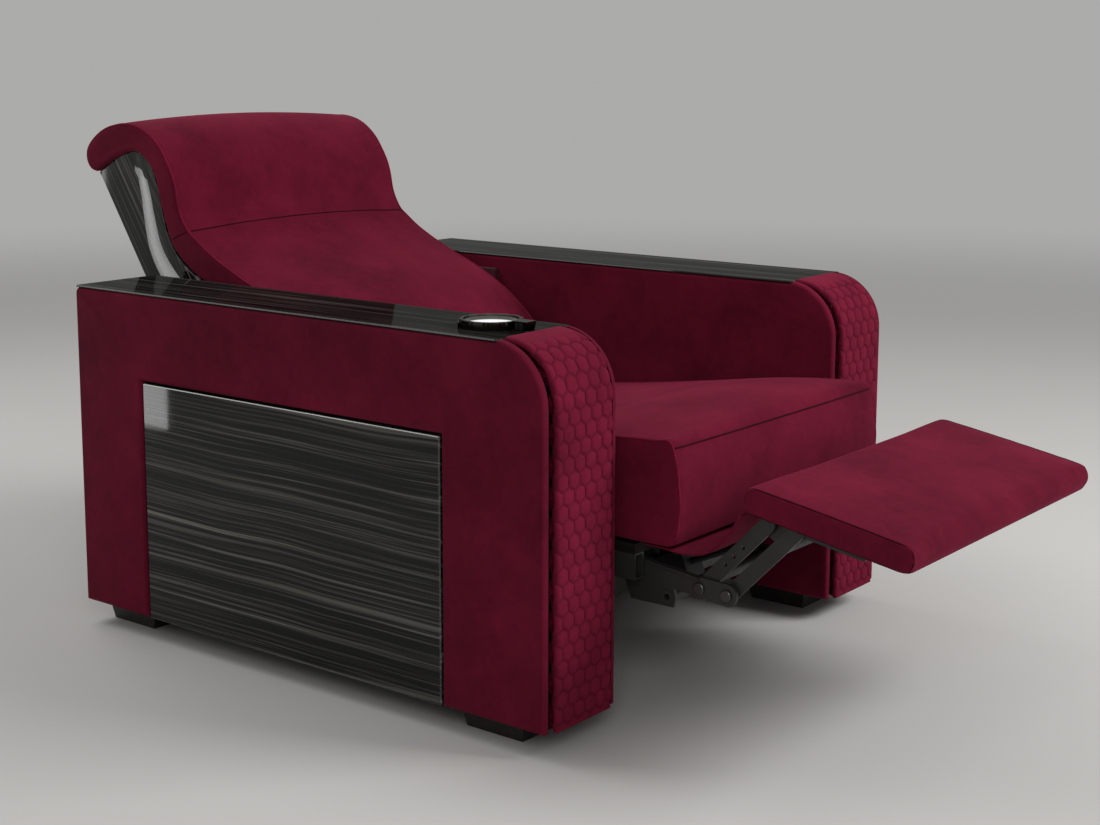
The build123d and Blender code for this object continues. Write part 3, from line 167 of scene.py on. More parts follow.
FLOAT, COLOR, VECTOR, GEOMETRY, MATERIAL = (
    "NodeSocketFloat", "NodeSocketColor", "NodeSocketVector", "NodeSocketGeometry", "NodeSocketMaterial"
)

# %% [markdown]
# ## Effects shared by the finishes
#
# Velvet is a short pile that lies a little differently from hand to hand, so its tone drifts in soft
# clouds and its surface is a fine fuzz. The wood veneer has pale streaks that run with the grain, waver
# and fade in and out, and lacquer shines brightest where an edge of the board is broken. Metal and plastic
# are never evenly smooth. Each effect is one node group, and each material sets its own values on it.

# %% Node group: nap of a pile fabric
def make_nap():
    inputs = [("Vector", VECTOR), ("Cloud Scale", FLOAT, 7.0), ("Fibre Scale", FLOAT, 900.0),
              ("Dark", COLOR), ("Light", COLOR)]
    tree, given, result = group("Nap", "ShaderNodeTree", inputs, [("Color", COLOR), ("Height", FLOAT)])
    plus, times = [partial(calc, tree, name) for name in ("ADD", "MULTIPLY")]
    clouds = noise(tree, given["Vector"], given["Cloud Scale"], 3.0, Roughness=0.55)
    strokes = noise(tree, given["Vector"], times(given["Cloud Scale"], 5.0), 2.0, Distortion=1.2)
    fibres = noise(tree, given["Vector"], given["Fibre Scale"], 2.0)
    broad = plus(times(clouds, 0.75), times(strokes, 0.25))
    spread = calc(tree, "MULTIPLY_ADD", broad, 2.4, -0.75, clamp=True)
    fuzzy = plus(spread, calc(tree, "MULTIPLY_ADD", fibres, 0.36, -0.18), clamp=True)
    feed(tree, result, Color=mixed(tree, fuzzy, given["Dark"], given["Light"]),
         Height=plus(fibres, times(strokes, 1.5)))
    return tree


NAP = make_nap()


# %% Node group: streaks of a wood grain that runs along the vector's X
def make_grain():
    inputs = [("Vector", VECTOR), ("Fine", FLOAT, 520.0), ("Coarse", FLOAT, 150.0), ("Waver", FLOAT, 0.012),
              ("Amount", FLOAT, 1.0), ("Ground", COLOR), ("Streak", COLOR)]
    tree, given, result = group("Grain", "ShaderNodeTree", inputs, [("Color", COLOR), ("Mask", FLOAT)])
    plus, times = [partial(calc, tree, name) for name in ("ADD", "MULTIPLY")]
    slow = add(tree, "ShaderNodeMapping", {"Vector": given["Vector"], "Scale": (2.6, 3.4, 3.4)}).outputs[0]
    sway = times(plus(noise(tree, slow, 1.0, 1.0), -0.5), given["Waver"])
    shift = add(tree, "ShaderNodeCombineXYZ", {2: sway}).outputs[0]
    bent = vector_calc(tree, "ADD", given["Vector"], shift).outputs[0]
    stretched = add(tree, "ShaderNodeMapping", {"Vector": bent, "Scale": (0.006, 1.0, 1.0)}).outputs[0]
    fine = eased(tree, noise(tree, stretched, given["Fine"], 3.0, Roughness=0.6), 0.48, 0.7)
    coarse = eased(tree, noise(tree, stretched, given["Coarse"], 4.0, Roughness=0.6), 0.53, 0.7)
    broad = noise(tree, stretched, times(given["Coarse"], 0.2), 1.0)
    bands = calc(tree, "MULTIPLY_ADD", broad, 2.6, -0.75, clamp=True)
    lit = times(plus(times(fine, 0.45), times(coarse, 0.75)), calc(tree, "MULTIPLY_ADD", bands, 0.75, 0.35))
    amount = times(lit, given["Amount"], clamp=True)
    feed(tree, result, Color=mixed(tree, amount, given["Ground"], given["Streak"]), Mask=amount)
    return tree


GRAIN = make_grain()


# %% Node group: uneven smoothness of metal and plastic
def make_handling():
    inputs = [("Vector", VECTOR), ("Scale", FLOAT, 30.0), ("Low", FLOAT, 0.25), ("High", FLOAT, 0.4)]
    tree, given, result = group("Handling", "ShaderNodeTree", inputs, [("Roughness", FLOAT), ("Height", FLOAT)])
    smears = noise(tree, given["Vector"], given["Scale"], 4.0, Distortion=0.6)
    speckle = noise(tree, given["Vector"], calc(tree, "MULTIPLY", given["Scale"], 40.0), 1.0)
    feed(tree, result, Roughness=ranged(tree, smears, 0.35, 0.65, given["Low"], given["High"]), Height=speckle)
    return tree


HANDLING = make_handling()


# %% Node group: the broken edges of a lacquered board
def make_edges():
    """Finds chamfers: faces that look along none of the piece's own axes."""
    tree, given, result = group("Edges", "ShaderNodeTree", [("Normal", VECTOR)], [("Mask", FLOAT)])
    size = vector_calc(tree, "ABSOLUTE", given["Normal"]).outputs[0]
    x, y, z = split(tree, size)
    most = calc(tree, "MAXIMUM", calc(tree, "MAXIMUM", x, y), z)
    feed(tree, result, Mask=eased(tree, most, 0.86, 0.95, start=1.0, end=0.0))
    return tree


EDGES = make_edges()


# %% [markdown]
# ## Finishes
#
# Every finish is one Principled shader. Numbers that are the same all over go straight on its sockets,
# and the groups above feed what changes: colour, roughness, a coat along the wood's edges and the height of
# a fine bump. One finish has painted light as well: the cup holder's liner glows, so it looks lit from inside.

# %% Helpers for materials
def new_material(name):
    """A material with a Principled shader; returns it, its tree, the shader's inputs and Object coordinates."""
    material = bpy.data.materials.new(name)
    material.use_nodes = True
    tree = material.node_tree
    shader = tree.nodes["Principled BSDF"]
    return material, tree, shader.inputs, tree.nodes.new("ShaderNodeTexCoord").outputs["Object"]


def set_values(sockets, **values):
    for name, value in values.items():
        sockets[name.replace("_", " ")].default_value = value


def bump(tree, sockets, height, strength, distance):
    node = add(tree, "ShaderNodeBump", {"Height": height, "Strength": strength, "Distance": distance})
    feed(tree, sockets, Normal=node.outputs[0])


def velvet(name, dark, light, cloud_scale=7.0, valley_shade=False):
    """Pile fabric. With valley shade, painted shade darkens it where its mesh's valley attribute says that it is
    pulled in.
    """
    material, tree, shader, place = new_material(name)
    nap = add(tree, "ShaderNodeGroup", {"Vector": place, "Cloud Scale": cloud_scale, "Dark": (*dark, 1),
                                        "Light": (*light, 1)}, node_tree=NAP).outputs
    color = nap["Color"]
    if valley_shade:
        # Painted shade: the colour darkens towards a quarter of the dark tone in the stitch valleys, where shade
        # falls.
        valley = add(tree, "ShaderNodeAttribute", attribute_name="valley").outputs["Fac"]
        color = mixed(tree, calc(tree, "MULTIPLY", valley, 0.55, clamp=True), color, [c * 0.25 for c in dark])
    feed(tree, shader, Base_Color=color)
    set_values(shader, Roughness=0.95, Sheen_Weight=0.22, Sheen_Roughness=0.4, Sheen_Tint=(0.62, 0.06, 0.15, 1),
               Specular_IOR_Level=0.08)
    bump(tree, shader, nap["Height"], 0.35, 0.0006)
    return material


def handled(tree, place, scale, low, high):
    """Smoothness that varies from low to high in patches of some scale."""
    links = {"Vector": place, "Scale": scale, "Low": low, "High": high}
    return add(tree, "ShaderNodeGroup", links, node_tree=HANDLING).outputs


def wood(name, ground, streak, turn, fine=300.0, coarse=110.0, waver=0.012, amount=1.0, roughness=(0.03, 0.06),
         gloss=0.3, edge_coat=0.0):
    """A veneer. Its grain runs along the X of coordinates that are turned by some degrees about each axis."""
    material, tree, shader, place = new_material(name)
    mapping = add(tree, "ShaderNodeMapping", {"Vector": place, "Rotation": [math.radians(t) for t in turn]})
    grain = add(tree, "ShaderNodeGroup",
                {"Vector": mapping.outputs[0], "Fine": fine, "Coarse": coarse, "Waver": waver, "Amount": amount,
                 "Ground": (*ground, 1), "Streak": (*streak, 1)}, node_tree=GRAIN).outputs
    handling = handled(tree, place, 6.0, *roughness)
    feed(tree, shader, Base_Color=grain["Color"], Roughness=handling["Roughness"])
    set_values(shader, Specular_IOR_Level=gloss)
    if edge_coat:
        normal = tree.nodes["Texture Coordinate"].outputs["Normal"]
        edges = add(tree, "ShaderNodeGroup", {"Normal": normal}, node_tree=EDGES).outputs
        feed(tree, shader, Coat_Weight=calc(tree, "MULTIPLY", edges["Mask"], edge_coat))
        set_values(shader, Coat_Roughness=0.05)
    bump(tree, shader, grain["Mask"], 0.015, 0.0002)
    return material


def smooth(name, color, low, high, scale=30.0, metallic=0.0, strength=0.08, coat=0.0, spread=0.2,
           glancing=1.0):
    """Metal, rubber or plastic: one colour that drifts a little, uneven smoothness, a fine surface.

    Glancing is how bright a metal stays where it is seen edge on.
    """
    material, tree, shader, place = new_material(name)
    handling = handled(tree, place, scale, low, high)
    tones = [[c * k for c in color] for k in (1 - spread, 1 + spread)]
    feed(tree, shader, Base_Color=mixed(tree, noise(tree, place, scale * 0.6, 3.0), *tones),
         Roughness=handling["Roughness"])
    set_values(shader, Metallic=metallic, Coat_Weight=coat, Specular_Tint=(glancing, glancing, glancing, 1))
    bump(tree, shader, handling["Height"], strength, 0.0002)
    return material


def paint_light_below(material, level, fade, strength):
    """Paints light into a finish: it glows under a level above the floor, as a hidden lamp would light it."""
    tree = material.node_tree
    shader = tree.nodes["Principled BSDF"].inputs
    height = split(tree, tree.nodes["Texture Coordinate"].outputs["Object"])[2]
    feed(tree, shader, Emission_Color=ranged(tree, height, level, level - fade))
    set_values(shader, Emission_Strength=strength)


# %% The finishes of this seat
CRIMSON_DARK, CRIMSON_LIGHT = (0.075, 0.0035, 0.013), (0.15, 0.0075, 0.0265)
EBONY_GROUND, EBONY_STREAK = (0.0025, 0.0025, 0.0025), (0.19, 0.182, 0.16)
velvet_plain = velvet("crimson_velvet", CRIMSON_DARK, CRIMSON_LIGHT)
# The quilted velvet has painted shade along its stitch valleys.
velvet_quilt = velvet("quilted_velvet", (0.1, 0.005, 0.018), (0.18, 0.009, 0.032), cloud_scale=11.0, valley_shade=True)
# The welt velvet is the same crimson painted lighter: a painted highlight along each cord's round.
highlit_welt_velvet = velvet("welt_velvet", (0.13, 0.006, 0.022), (0.2, 0.01, 0.036), cloud_scale=20.0)
# The seam velvet is near black: painted shade for the valley of each plain seam.
seam_shade_velvet = velvet("seam_shadow", (0.016, 0.001, 0.003), (0.035, 0.0018, 0.006), cloud_scale=20.0)
ALONG_ARM, UP_THE_BACK, CROSSWISE = (0, 0, -90), (-56.7, 0, -90), (0, 0, 0)
ebony_panel = wood("ebony_panel", EBONY_GROUND, EBONY_STREAK, ALONG_ARM, waver=0.022, gloss=0.25, edge_coat=1.0)
ebony_cap = wood("ebony_cap", EBONY_GROUND, EBONY_STREAK, ALONG_ARM, fine=420.0, coarse=150.0, waver=0.0,
                 amount=0.5, gloss=0.001, edge_coat=0.35)
ebony_shell = wood("ebony_shell", EBONY_GROUND, EBONY_STREAK, UP_THE_BACK, waver=0.003, gloss=0.4, edge_coat=1.0)
foot_wood = wood("dark_block", (0.018, 0.014, 0.013), (0.05, 0.04, 0.035), CROSSWISE, roughness=(0.4, 0.55))
lined_board = wood("lined_board", (0.007, 0.005, 0.005), (0.014, 0.011, 0.01), ALONG_ARM, roughness=(0.6, 0.8),
                   gloss=0.1)
turned = dict(scale=14.0, metallic=1.0, strength=0.01)
dark_nickel = smooth("dark_nickel", (0.07, 0.064, 0.05), 0.08, 0.14, spread=0.06, glancing=0.4, **turned)
liner_steel = smooth("liner_steel", (0.1, 0.1, 0.095), 0.2, 0.3, spread=0.04, **turned)
# Painted light: the cup holder's liner glows below a depth under the ring's top, fading over a short height.
PAINTED_LIGHT_DEPTH, PAINTED_LIGHT_FADE = 7, 1.5
paint_light_below(liner_steel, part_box("cup_holder_ring")[1][2] - PAINTED_LIGHT_DEPTH * MM, PAINTED_LIGHT_FADE * MM, 0.9)
covered_steel = smooth("crimson_coated_steel", (0.05, 0.003, 0.0095), 0.7, 0.85, strength=0.2)
rubber = smooth("black_rubber", (0.012, 0.012, 0.012), 0.65, 0.8, strength=0.3)
key_black = smooth("black_key", (0.01, 0.01, 0.011), 0.12, 0.2, strength=0.02, coat=0.5)
coated_steel = smooth("coated_steel", (0.03, 0.031, 0.029), 0.38, 0.52, scale=18.0, metallic=0.35, strength=0.2)
zinc_steel = smooth("zinc_steel", (0.075, 0.075, 0.072), 0.3, 0.42, scale=40.0, metallic=0.85, strength=0.12)
nylon = smooth("nylon", (0.03, 0.03, 0.031), 0.42, 0.55)
motor_black = smooth("motor_casing", (0.022, 0.022, 0.024), 0.35, 0.5, strength=0.2)
webbing = smooth("webbing", (0.02, 0.02, 0.022), 0.8, 0.95, scale=60.0, strength=0.5)
print(len(bpy.data.materials), "materials")

# %% [markdown]
# ## Finish the rigid pieces
#
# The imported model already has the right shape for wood, steel and plastic, so each of those pieces only
# swaps its material. The wood is mapped by the way the veneer was laid: along the arm on the caps and the
# side panels, and up the slope on the back's sides.

# %% A finish for each rigid node
BY_SLOT = {
    "velvet": velvet_plain, "ebony": ebony_panel, "plywood": lined_board, "foot": foot_wood, "rubber": rubber,
    "polished_steel": dark_nickel, "dark_steel": coated_steel, "bright_steel": zinc_steel, "button": key_black,
    "nylon": nylon, "motor": motor_black, "webbing": webbing,
}
BY_NODE = {
    "arm_cap_left": ebony_cap, "arm_cap_right": ebony_cap,
    "back_shell_left": ebony_shell, "back_shell_right": ebony_shell, "back_panel": ebony_shell,
    "cup_holder_liner": liner_steel, "recline_tracks": covered_steel,
}
for subpart in frame["record"]["subparts"]:
    node = frame["nodes"][subpart["node"]]
    finish = BY_NODE.get(subpart["node"], BY_SLOT[subpart["material_slot"]])
    repaint(node.data, finish)


# %% [markdown]
# ## Arms: padded faces
#
# Each face of an arm is foam and velvet stretched over a board: flat in the middle and soft at its edges.
# A slab with rounded rims could be made with a Bevel modifier, but here each rim is built from loops that
# step inwards while they rise, so the round is even along the curved nose as well.

# %% Outlines
NOSE_RADIUS = 95
FLOOR_GAP = 40
PAD_TOP = 606
REAR_ROUND = 11
_, ARM_REAR, ARM_TOP = measured("arm_outer_pad_left")[1]
CAP_FRONT = measured("arm_cap_left")[0][1]
ARC_STEPS = 24


def arm_outline(window=None):
    """The arm's side view as (y, z) points. A window is the (front, rear, top) of a notch in its lower edge."""
    points = [(0, FLOOR_GAP)]
    drop = ARM_TOP - PAD_TOP
    end = math.acos(1 - (CAP_FRONT - drop) / NOSE_RADIUS)
    for k in range(ARC_STEPS + 1):
        angle = end * k / ARC_STEPS
        points.append((NOSE_RADIUS * (1 - math.cos(angle)), ARM_TOP - NOSE_RADIUS * (1 - math.sin(angle))))
    points.append((CAP_FRONT, PAD_TOP))
    for k in range(7):
        angle = math.pi / 2 * k / 6
        points.append((ARM_REAR - REAR_ROUND * (1 - math.sin(angle)), PAD_TOP - REAR_ROUND * (1 - math.cos(angle))))
    points.append((ARM_REAR, FLOOR_GAP))
    if window:
        front, rear, top = window
        points += [(rear, FLOOR_GAP), (rear, top), (front, top), (front, FLOOR_GAP)]
    return points


def stepped_in(points, inset):
    """The outline with every edge moved inwards; the points run clockwise."""
    moved = []
    count = len(points)
    for k, here in enumerate(points):
        before, after = Vector(points[k - 1]), Vector(points[(k + 1) % count])
        here = Vector(here)
        first, second = (here - before).normalized(), (after - here).normalized()
        normal = Vector((first.y, -first.x)) + Vector((second.y, -second.x))
        normal.normalize()
        along = normal.dot(Vector((first.y, -first.x)))
        moved.append(here + normal * inset / max(along, 0.35))
    return moved


# %% Helpers for meshes
def skinned(build, rings, closed=True):
    """Quads between rings of as many vertices each."""
    for low, high in zip(rings, rings[1:]):
        for k in range(len(low) if closed else len(low) - 1):
            after = (k + 1) % len(low)
            build.faces.new((low[k], low[after], high[after], high[k]))


def mesh_of(build, name):
    """Turns a finished bmesh into a mesh."""
    mesh = bpy.data.meshes.new(name)
    build.to_mesh(mesh)
    build.free()
    return mesh


def tree_of(points):
    """A search tree that finds the nearest of the points."""
    points = list(points)
    tree = KDTree(max(len(points), 1))
    for k, point in enumerate(points):
        tree.insert(point, k)
    tree.balance()
    return tree


def new_object(name, mesh, material):
    repaint(mesh, material)
    return placed(name, mesh)


def modify(piece, name, kind, **settings):
    """Adds a modifier."""
    return configure(piece.modifiers.new(name, kind), **settings)


def shade_smooth(mesh, angle=40):
    """Smooth shading, with edges sharper than the angle kept crisp."""
    mesh.shade_smooth()
    mesh.set_sharp_from_angle(angle=math.radians(angle))


# %% Build a padded slab
def slab(name, outline, back, face, rim, place, node, steps=5):
    """A padded slab: outline in 2-D, from back to face along the third axis, its face rim rounded."""
    direction = 1 if face > back else -1
    build = bmesh.new()
    loops = [[(p[0], p[1], back) for p in outline], [(p[0], p[1], face - direction * rim) for p in outline]]
    for k in range(1, steps + 1):
        turn = math.pi / 2 * k / steps
        inset, rise = rim * (1 - math.cos(turn)), rim * math.sin(turn)
        loops.append([(p[0], p[1], face - direction * (rim - rise)) for p in stepped_in(outline, inset)])
    rings = [[build.verts.new(place(*p)) for p in loop] for loop in loops]
    skinned(build, rings)
    build.faces.new(rings[0])
    build.faces.new(rings[-1])
    build.normal_update()
    bmesh.ops.triangulate(build, faces=[f for f in build.faces if len(f.verts) > 4])
    bmesh.ops.recalc_face_normals(build, faces=build.faces)
    mesh = mesh_of(build, name)
    shade_smooth(mesh, 50)
    piece = new_object(name, mesh, velvet_plain)
    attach(piece, "base")
    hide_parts(node)


PAD_RIM, REAR_RIM = 7, 4
PANEL_GAP = 4
SIDES = (("left", 1), ("right", -1))
(_, front, _), (_, rear, top) = measured("side_panel_left")
window = (front - PANEL_GAP, rear + PANEL_GAP, top + PANEL_GAP)
(outer_back, _, _), (outer_face, _, _) = measured("arm_outer_pad_left")
(inner_face, _, _), (inner_back, _, _) = measured("arm_inner_pad_left")
(rear_in, rear_back, _), (rear_out, rear_face, _) = measured("arm_rear_pad_left")
rectangle = [(rear_in, FLOOR_GAP), (rear_in, PAD_TOP), (rear_out, PAD_TOP), (rear_out, FLOOR_GAP)]
for side, sign in SIDES:
    def upright(y, z, x, sign=sign):
        return side_view(y, z, sign * x)

    def crosswise(x, z, y, sign=sign):
        return side_view(y, z, sign * x)

    slab(f"outer_velvet_{side}", arm_outline(window), outer_back, outer_face, PAD_RIM, upright,
         f"arm_outer_pad_{side}")
    slab(f"inner_velvet_{side}", arm_outline(), inner_back, inner_face, PAD_RIM, upright, f"arm_inner_pad_{side}")
    slab(f"rear_velvet_{side}", rectangle, rear_back, rear_face, REAR_RIM, crosswise, f"arm_rear_pad_{side}")
print("arm faces:", round(outer_face - inner_face), "mm across an arm")

# %% [markdown]
# ## Arms: the quilted front
#
# A quilted band runs up the front of each arm and over its round. Hexagons are stitched into it, so the
# foam stands up inside each cell and sinks at the stitch lines. The pattern follows a rule and a path, so
# Geometry Nodes make it: a flat grid gets its height from the distance to the nearest cell edge, and is
# then laid along the path. Painting it as bump would be quicker, but would leave the outline flat.

# %% How each Geometry Nodes tree ends
def made_real(tree, last, given, result):
    """Realizes what the last node makes, gives it the material, and hands the tree back."""
    real = add(tree, "GeometryNodeRealizeInstances", {0: last.outputs[0]})
    painted = add(tree, "GeometryNodeSetMaterial", {0: real.outputs[0], 2: given["Material"]})
    feed(tree, result, Mesh=painted.outputs[0])
    return tree


# %% Geometry Nodes: a quilted band along a straight and a round
CROWN_LEVEL = 0.013
START_FADE, END_FADE = 0.01, 0.02


def make_quilt():
    inputs = [("Width", FLOAT, 0.13), ("Length", FLOAT, 0.6), ("Straight", FLOAT, 0.47), ("Radius", FLOAT, 0.095),
              ("Cell", FLOAT, 0.027), ("Depth", FLOAT, 0.0024), ("Stitch", FLOAT, 0.0016), ("Crown", FLOAT, 0.1),
              ("Rim", FLOAT, 0.007), ("Plain End", FLOAT, 0.03), ("Proud", FLOAT, 0.0), ("Sinking", FLOAT, 0.08),
              ("Step", FLOAT, 0.0015), ("Material", MATERIAL)]
    tree, given, result = group("Quilted band", "GeometryNodeTree", inputs, [("Mesh", GEOMETRY)])
    plus, minus, times, over = [partial(calc, tree, name) for name in ("ADD", "SUBTRACT", "MULTIPLY", "DIVIDE")]

    def joined(x, y, z=0.0):
        return add(tree, "ShaderNodeCombineXYZ", {0: x, 1: y, 2: z}).outputs[0]

    columns, rows = [over(given[name], given["Step"]) for name in ("Width", "Length")]
    grid = add(tree, "GeometryNodeMeshGrid", {0: given["Width"], 1: given["Length"], 2: columns, 3: rows})
    across, from_middle, _ = split(tree, add(tree, "GeometryNodeInputPosition").outputs[0])
    along = plus(times(given["Length"], 0.5), from_middle)

    # Distance to the edge of the nearest cell: two rectangular lattices of hexagon centres, the nearer wins.
    cells = joined(over(across, given["Cell"]), over(along, given["Cell"]))
    tall = math.sqrt(3) / 2
    half, minus_half = (0.5, tall, 1.0), (-0.5, -tall, -1.0)
    first = vector_calc(tree, "WRAP", cells, half, minus_half).outputs[0]
    moved = vector_calc(tree, "SUBTRACT", cells, (0.5, tall, 0.0)).outputs[0]
    second = vector_calc(tree, "WRAP", moved, half, minus_half).outputs[0]
    away = [vector_calc(tree, "LENGTH", centre).outputs["Value"] for centre in (first, second)]
    nearer = calc(tree, "LESS_THAN", *away)
    local = add(tree, "ShaderNodeMix", {0: nearer, 4: second, 5: first}, data_type="VECTOR").outputs[1]
    side_x, side_y, _ = split(tree, vector_calc(tree, "ABSOLUTE", local).outputs[0])
    slanted = plus(times(side_x, 0.5), times(side_y, tall))
    edge = times(minus(0.5, calc(tree, "MAXIMUM", side_x, slanted)), given["Cell"])
    valley = calc(tree, "EXPONENT", over(edge, times(given["Stitch"], -1.0)))
    crown = times(minus(edge, CROWN_LEVEL), given["Crown"])
    to_end = minus(minus(given["Length"], along), given["Plain End"])
    fade = times(over(to_end, END_FADE, clamp=True), over(along, START_FADE, clamp=True))
    quilted = times(minus(crown, times(valley, given["Depth"])), fade)

    # The band's long edges and its lower end are rounded, and it sinks towards the cap.
    to_rim = minus(times(given["Width"], 0.5), calc(tree, "ABSOLUTE", across))
    to_rim = calc(tree, "MINIMUM", to_rim, plus(along, times(given["Rim"], 0.4)))
    share = over(calc(tree, "MAXIMUM", minus(given["Rim"], to_rim), 0.0), given["Rim"])
    quarter = calc(tree, "SQRT", minus(1.0, times(share, share), clamp=True))
    drop = times(given["Rim"], minus(1.0, quarter))
    to_cap = over(minus(given["Length"], along), given["Sinking"], clamp=True)
    height = plus(times(given["Proud"], eased(tree, to_cap, 0.0, 1.0, start=0.2)), minus(quilted, drop))

    # Lay it along the path: straight up, then round.
    angle = over(calc(tree, "MAXIMUM", minus(along, given["Straight"]), 0.0), given["Radius"])
    reach = plus(given["Radius"], height)
    back = minus(given["Radius"], times(reach, calc(tree, "COSINE", angle)))
    up = plus(times(reach, calc(tree, "SINE", angle)), calc(tree, "MINIMUM", along, given["Straight"]))
    # The valley share is stored on the mesh for the painted shade of the quilted velvet.
    marked = add(tree, "GeometryNodeStoreNamedAttribute",
                 {"Geometry": grid.outputs[0], "Name": "valley", "Value": times(valley, fade)},
                 data_type="FLOAT", domain="POINT")
    laid = add(tree, "GeometryNodeSetPosition", {0: marked.outputs[0], 2: joined(across, back, up)})
    return made_real(tree, laid, given, result)


# %% Run a Geometry Nodes tree and keep its result as a plain mesh
def grown(name, tree, source=None, **values):
    """The mesh that a tree makes, from a source curve or mesh if it has one."""
    host = placed(name, source or bpy.data.meshes.new(name))
    modifier = modify(host, "Grown", "NODES", node_group=tree)
    for item in tree.interface.items_tree:
        key = item.name.replace(" ", "_")
        if item.in_out == "INPUT" and key in values:
            modifier[item.identifier] = values[key]
    bpy.context.view_layer.update()
    result = host.evaluated_get(bpy.context.evaluated_depsgraph_get())
    mesh = bpy.data.meshes.new_from_object(result)
    mesh.name = name
    bpy.data.objects.remove(host)
    return mesh


# %% Both quilted bands
QUILT = make_quilt()
QUILT_CELL = 26.5
BAND_PROUD, BAND_THICKNESS = 10, 19
band_low, band_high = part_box("arm_nose_quilt_left")
straight = (ARM_TOP - NOSE_RADIUS - FLOOR_GAP) * MM
band_length = straight + NOSE_RADIUS * MM * math.acos(1 - CAP_FRONT / NOSE_RADIUS)
for side, sign in SIDES:
    mesh = grown(f"quilted_band_{side}", QUILT, Width=band_high[0] - band_low[0], Length=band_length,
                 Straight=straight, Radius=NOSE_RADIUS * MM, Cell=QUILT_CELL * MM, Rim=PAD_RIM * MM,
                 Proud=BAND_PROUD * MM, Material=velvet_quilt)
    mesh.transform(Matrix.Translation((sign * (band_low[0] + band_high[0]) / 2, FRONT, FLOOR_GAP * MM)))
    band = new_object(f"quilted_band_{side}", mesh, velvet_quilt)
    modify(band, "Thickness", "SOLIDIFY", thickness=BAND_THICKNESS * MM, offset=-1)
    shade_smooth(mesh, 60)
    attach(band, "base")
    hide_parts(f"arm_nose_quilt_{side}")
print("quilted band:", len(mesh.polygons), "faces,", round(band_length, 3), "m long")


# %% [markdown]
# ## Back: the wooden sides
#
# The glossy sides of the back aren't flat. Beside the cushion runs a raised step, and from it the wood falls
# away in a long shallow slope that catches the bright reflection. The section follows a rule, so each side
# is built as lines from the inner curve to the rear edge, with the same section of chamfer, step, slope and
# flat.

# %% The side's two edges
HEAD_INNER = [(1240, 785), (1190, 812), (1135, 829), (1090, 806), (1068, 764), (1054, 716), (1036, 668)]
BACK_INNER = [(1002, 632), (955, 604), (900, 580), (850, 556), (795, 530), (744, 504), (700, 470), (661, 436)]
HUB_FRONT, HUB_LOW = (556, 400), (580, 376.5)
REAR_TOP, REAR_LOW = (1238, 784), (941.5, 332.7)
SHELL_ROWS = 180


def smooth_path(points, count, per_span=12):
    """Evenly spaced points on a smooth curve through the given ones."""
    points = [Vector(p) for p in (points[0], *points, points[-1])]
    dense = []
    for before, here, there, after in zip(points, points[1:], points[2:], points[3:]):
        for step in range(per_span):
            t = step / per_span
            dense.append(0.5 * (2 * here + (there - before) * t + (2 * before - 5 * here + 4 * there - after) * t**2
                                + (3 * here - before - 3 * there + after) * t**3))
    dense.append(points[-1])
    lengths = np.cumsum([0] + [(b - a).length for a, b in zip(dense, dense[1:])])
    places = np.linspace(0, lengths[-1], count)
    return [Vector(np.interp(place, lengths, [p[axis] for p in dense]) for axis in range(len(dense[0])))
            for place in places]


REAR_SHARE = 0.6
inner_edge = smooth_path(HEAD_INNER + BACK_INNER + [(618, 404), HUB_FRONT], SHELL_ROWS)
corner = round(SHELL_ROWS * REAR_SHARE)
outer_edge = smooth_path([REAR_TOP, REAR_LOW], corner)[:-1]
outer_edge += smooth_path([REAR_LOW, HUB_LOW], SHELL_ROWS - corner + 1)
(shell_in, _, _), (shell_out, _, _) = measured("back_shell_left")
print("wooden side:", len(inner_edge), "lines,", round(shell_out - shell_in, 1), "mm thick beside the slope")

# %% Build the sides
COVE_RISE, STEEPEST = 8.5, 0.145
STEP_WIDTH, SHAPED_WIDTH = 20, 125
SLOPE_NARROW, SLOPE_WIDE, SLOPE_GROWTH = 26, 68, 130
SLOPE_FROM, STEP_BEGINS, STEP_ENDS = 0.18, (0.13, 0.22), (0.62, 0.78)
REAR_FADE = 25
STATIONS = 40
CHAMFER = 1.6
FINE = 4
near_inner = tree_of((*point, 0) for point in smooth_path(inner_edge, FINE * SHELL_ROWS))


def ramp(value, low, high):
    """Rises smoothly from 0 at low to 1 at high."""
    t = min(max((value - low) / (high - low), 0), 1)
    return t * t * (3 - 2 * t)


def rise_of_wood(point, run_left):
    """How far the wood stands out here: a step beside the cushion, then a slope that widens downwards."""
    _, index, distance = near_inner.find((*point, 0))
    share = index / (FINE * SHELL_ROWS)
    width = min(SLOPE_NARROW + SLOPE_GROWTH * max(share - SLOPE_FROM, 0), SLOPE_WIDE)
    fade = ramp(share, *STEP_BEGINS) * (1 - ramp(share, *STEP_ENDS)) * ramp(run_left, 0, REAR_FADE)
    slope = 1 - ramp(distance, STEP_WIDTH, STEP_WIDTH + width)
    chamfer = CHAMFER * (1 - min(distance / CHAMFER, 1)) if distance < CHAMFER else 0
    return min(COVE_RISE, STEEPEST * width) * fade * slope - chamfer


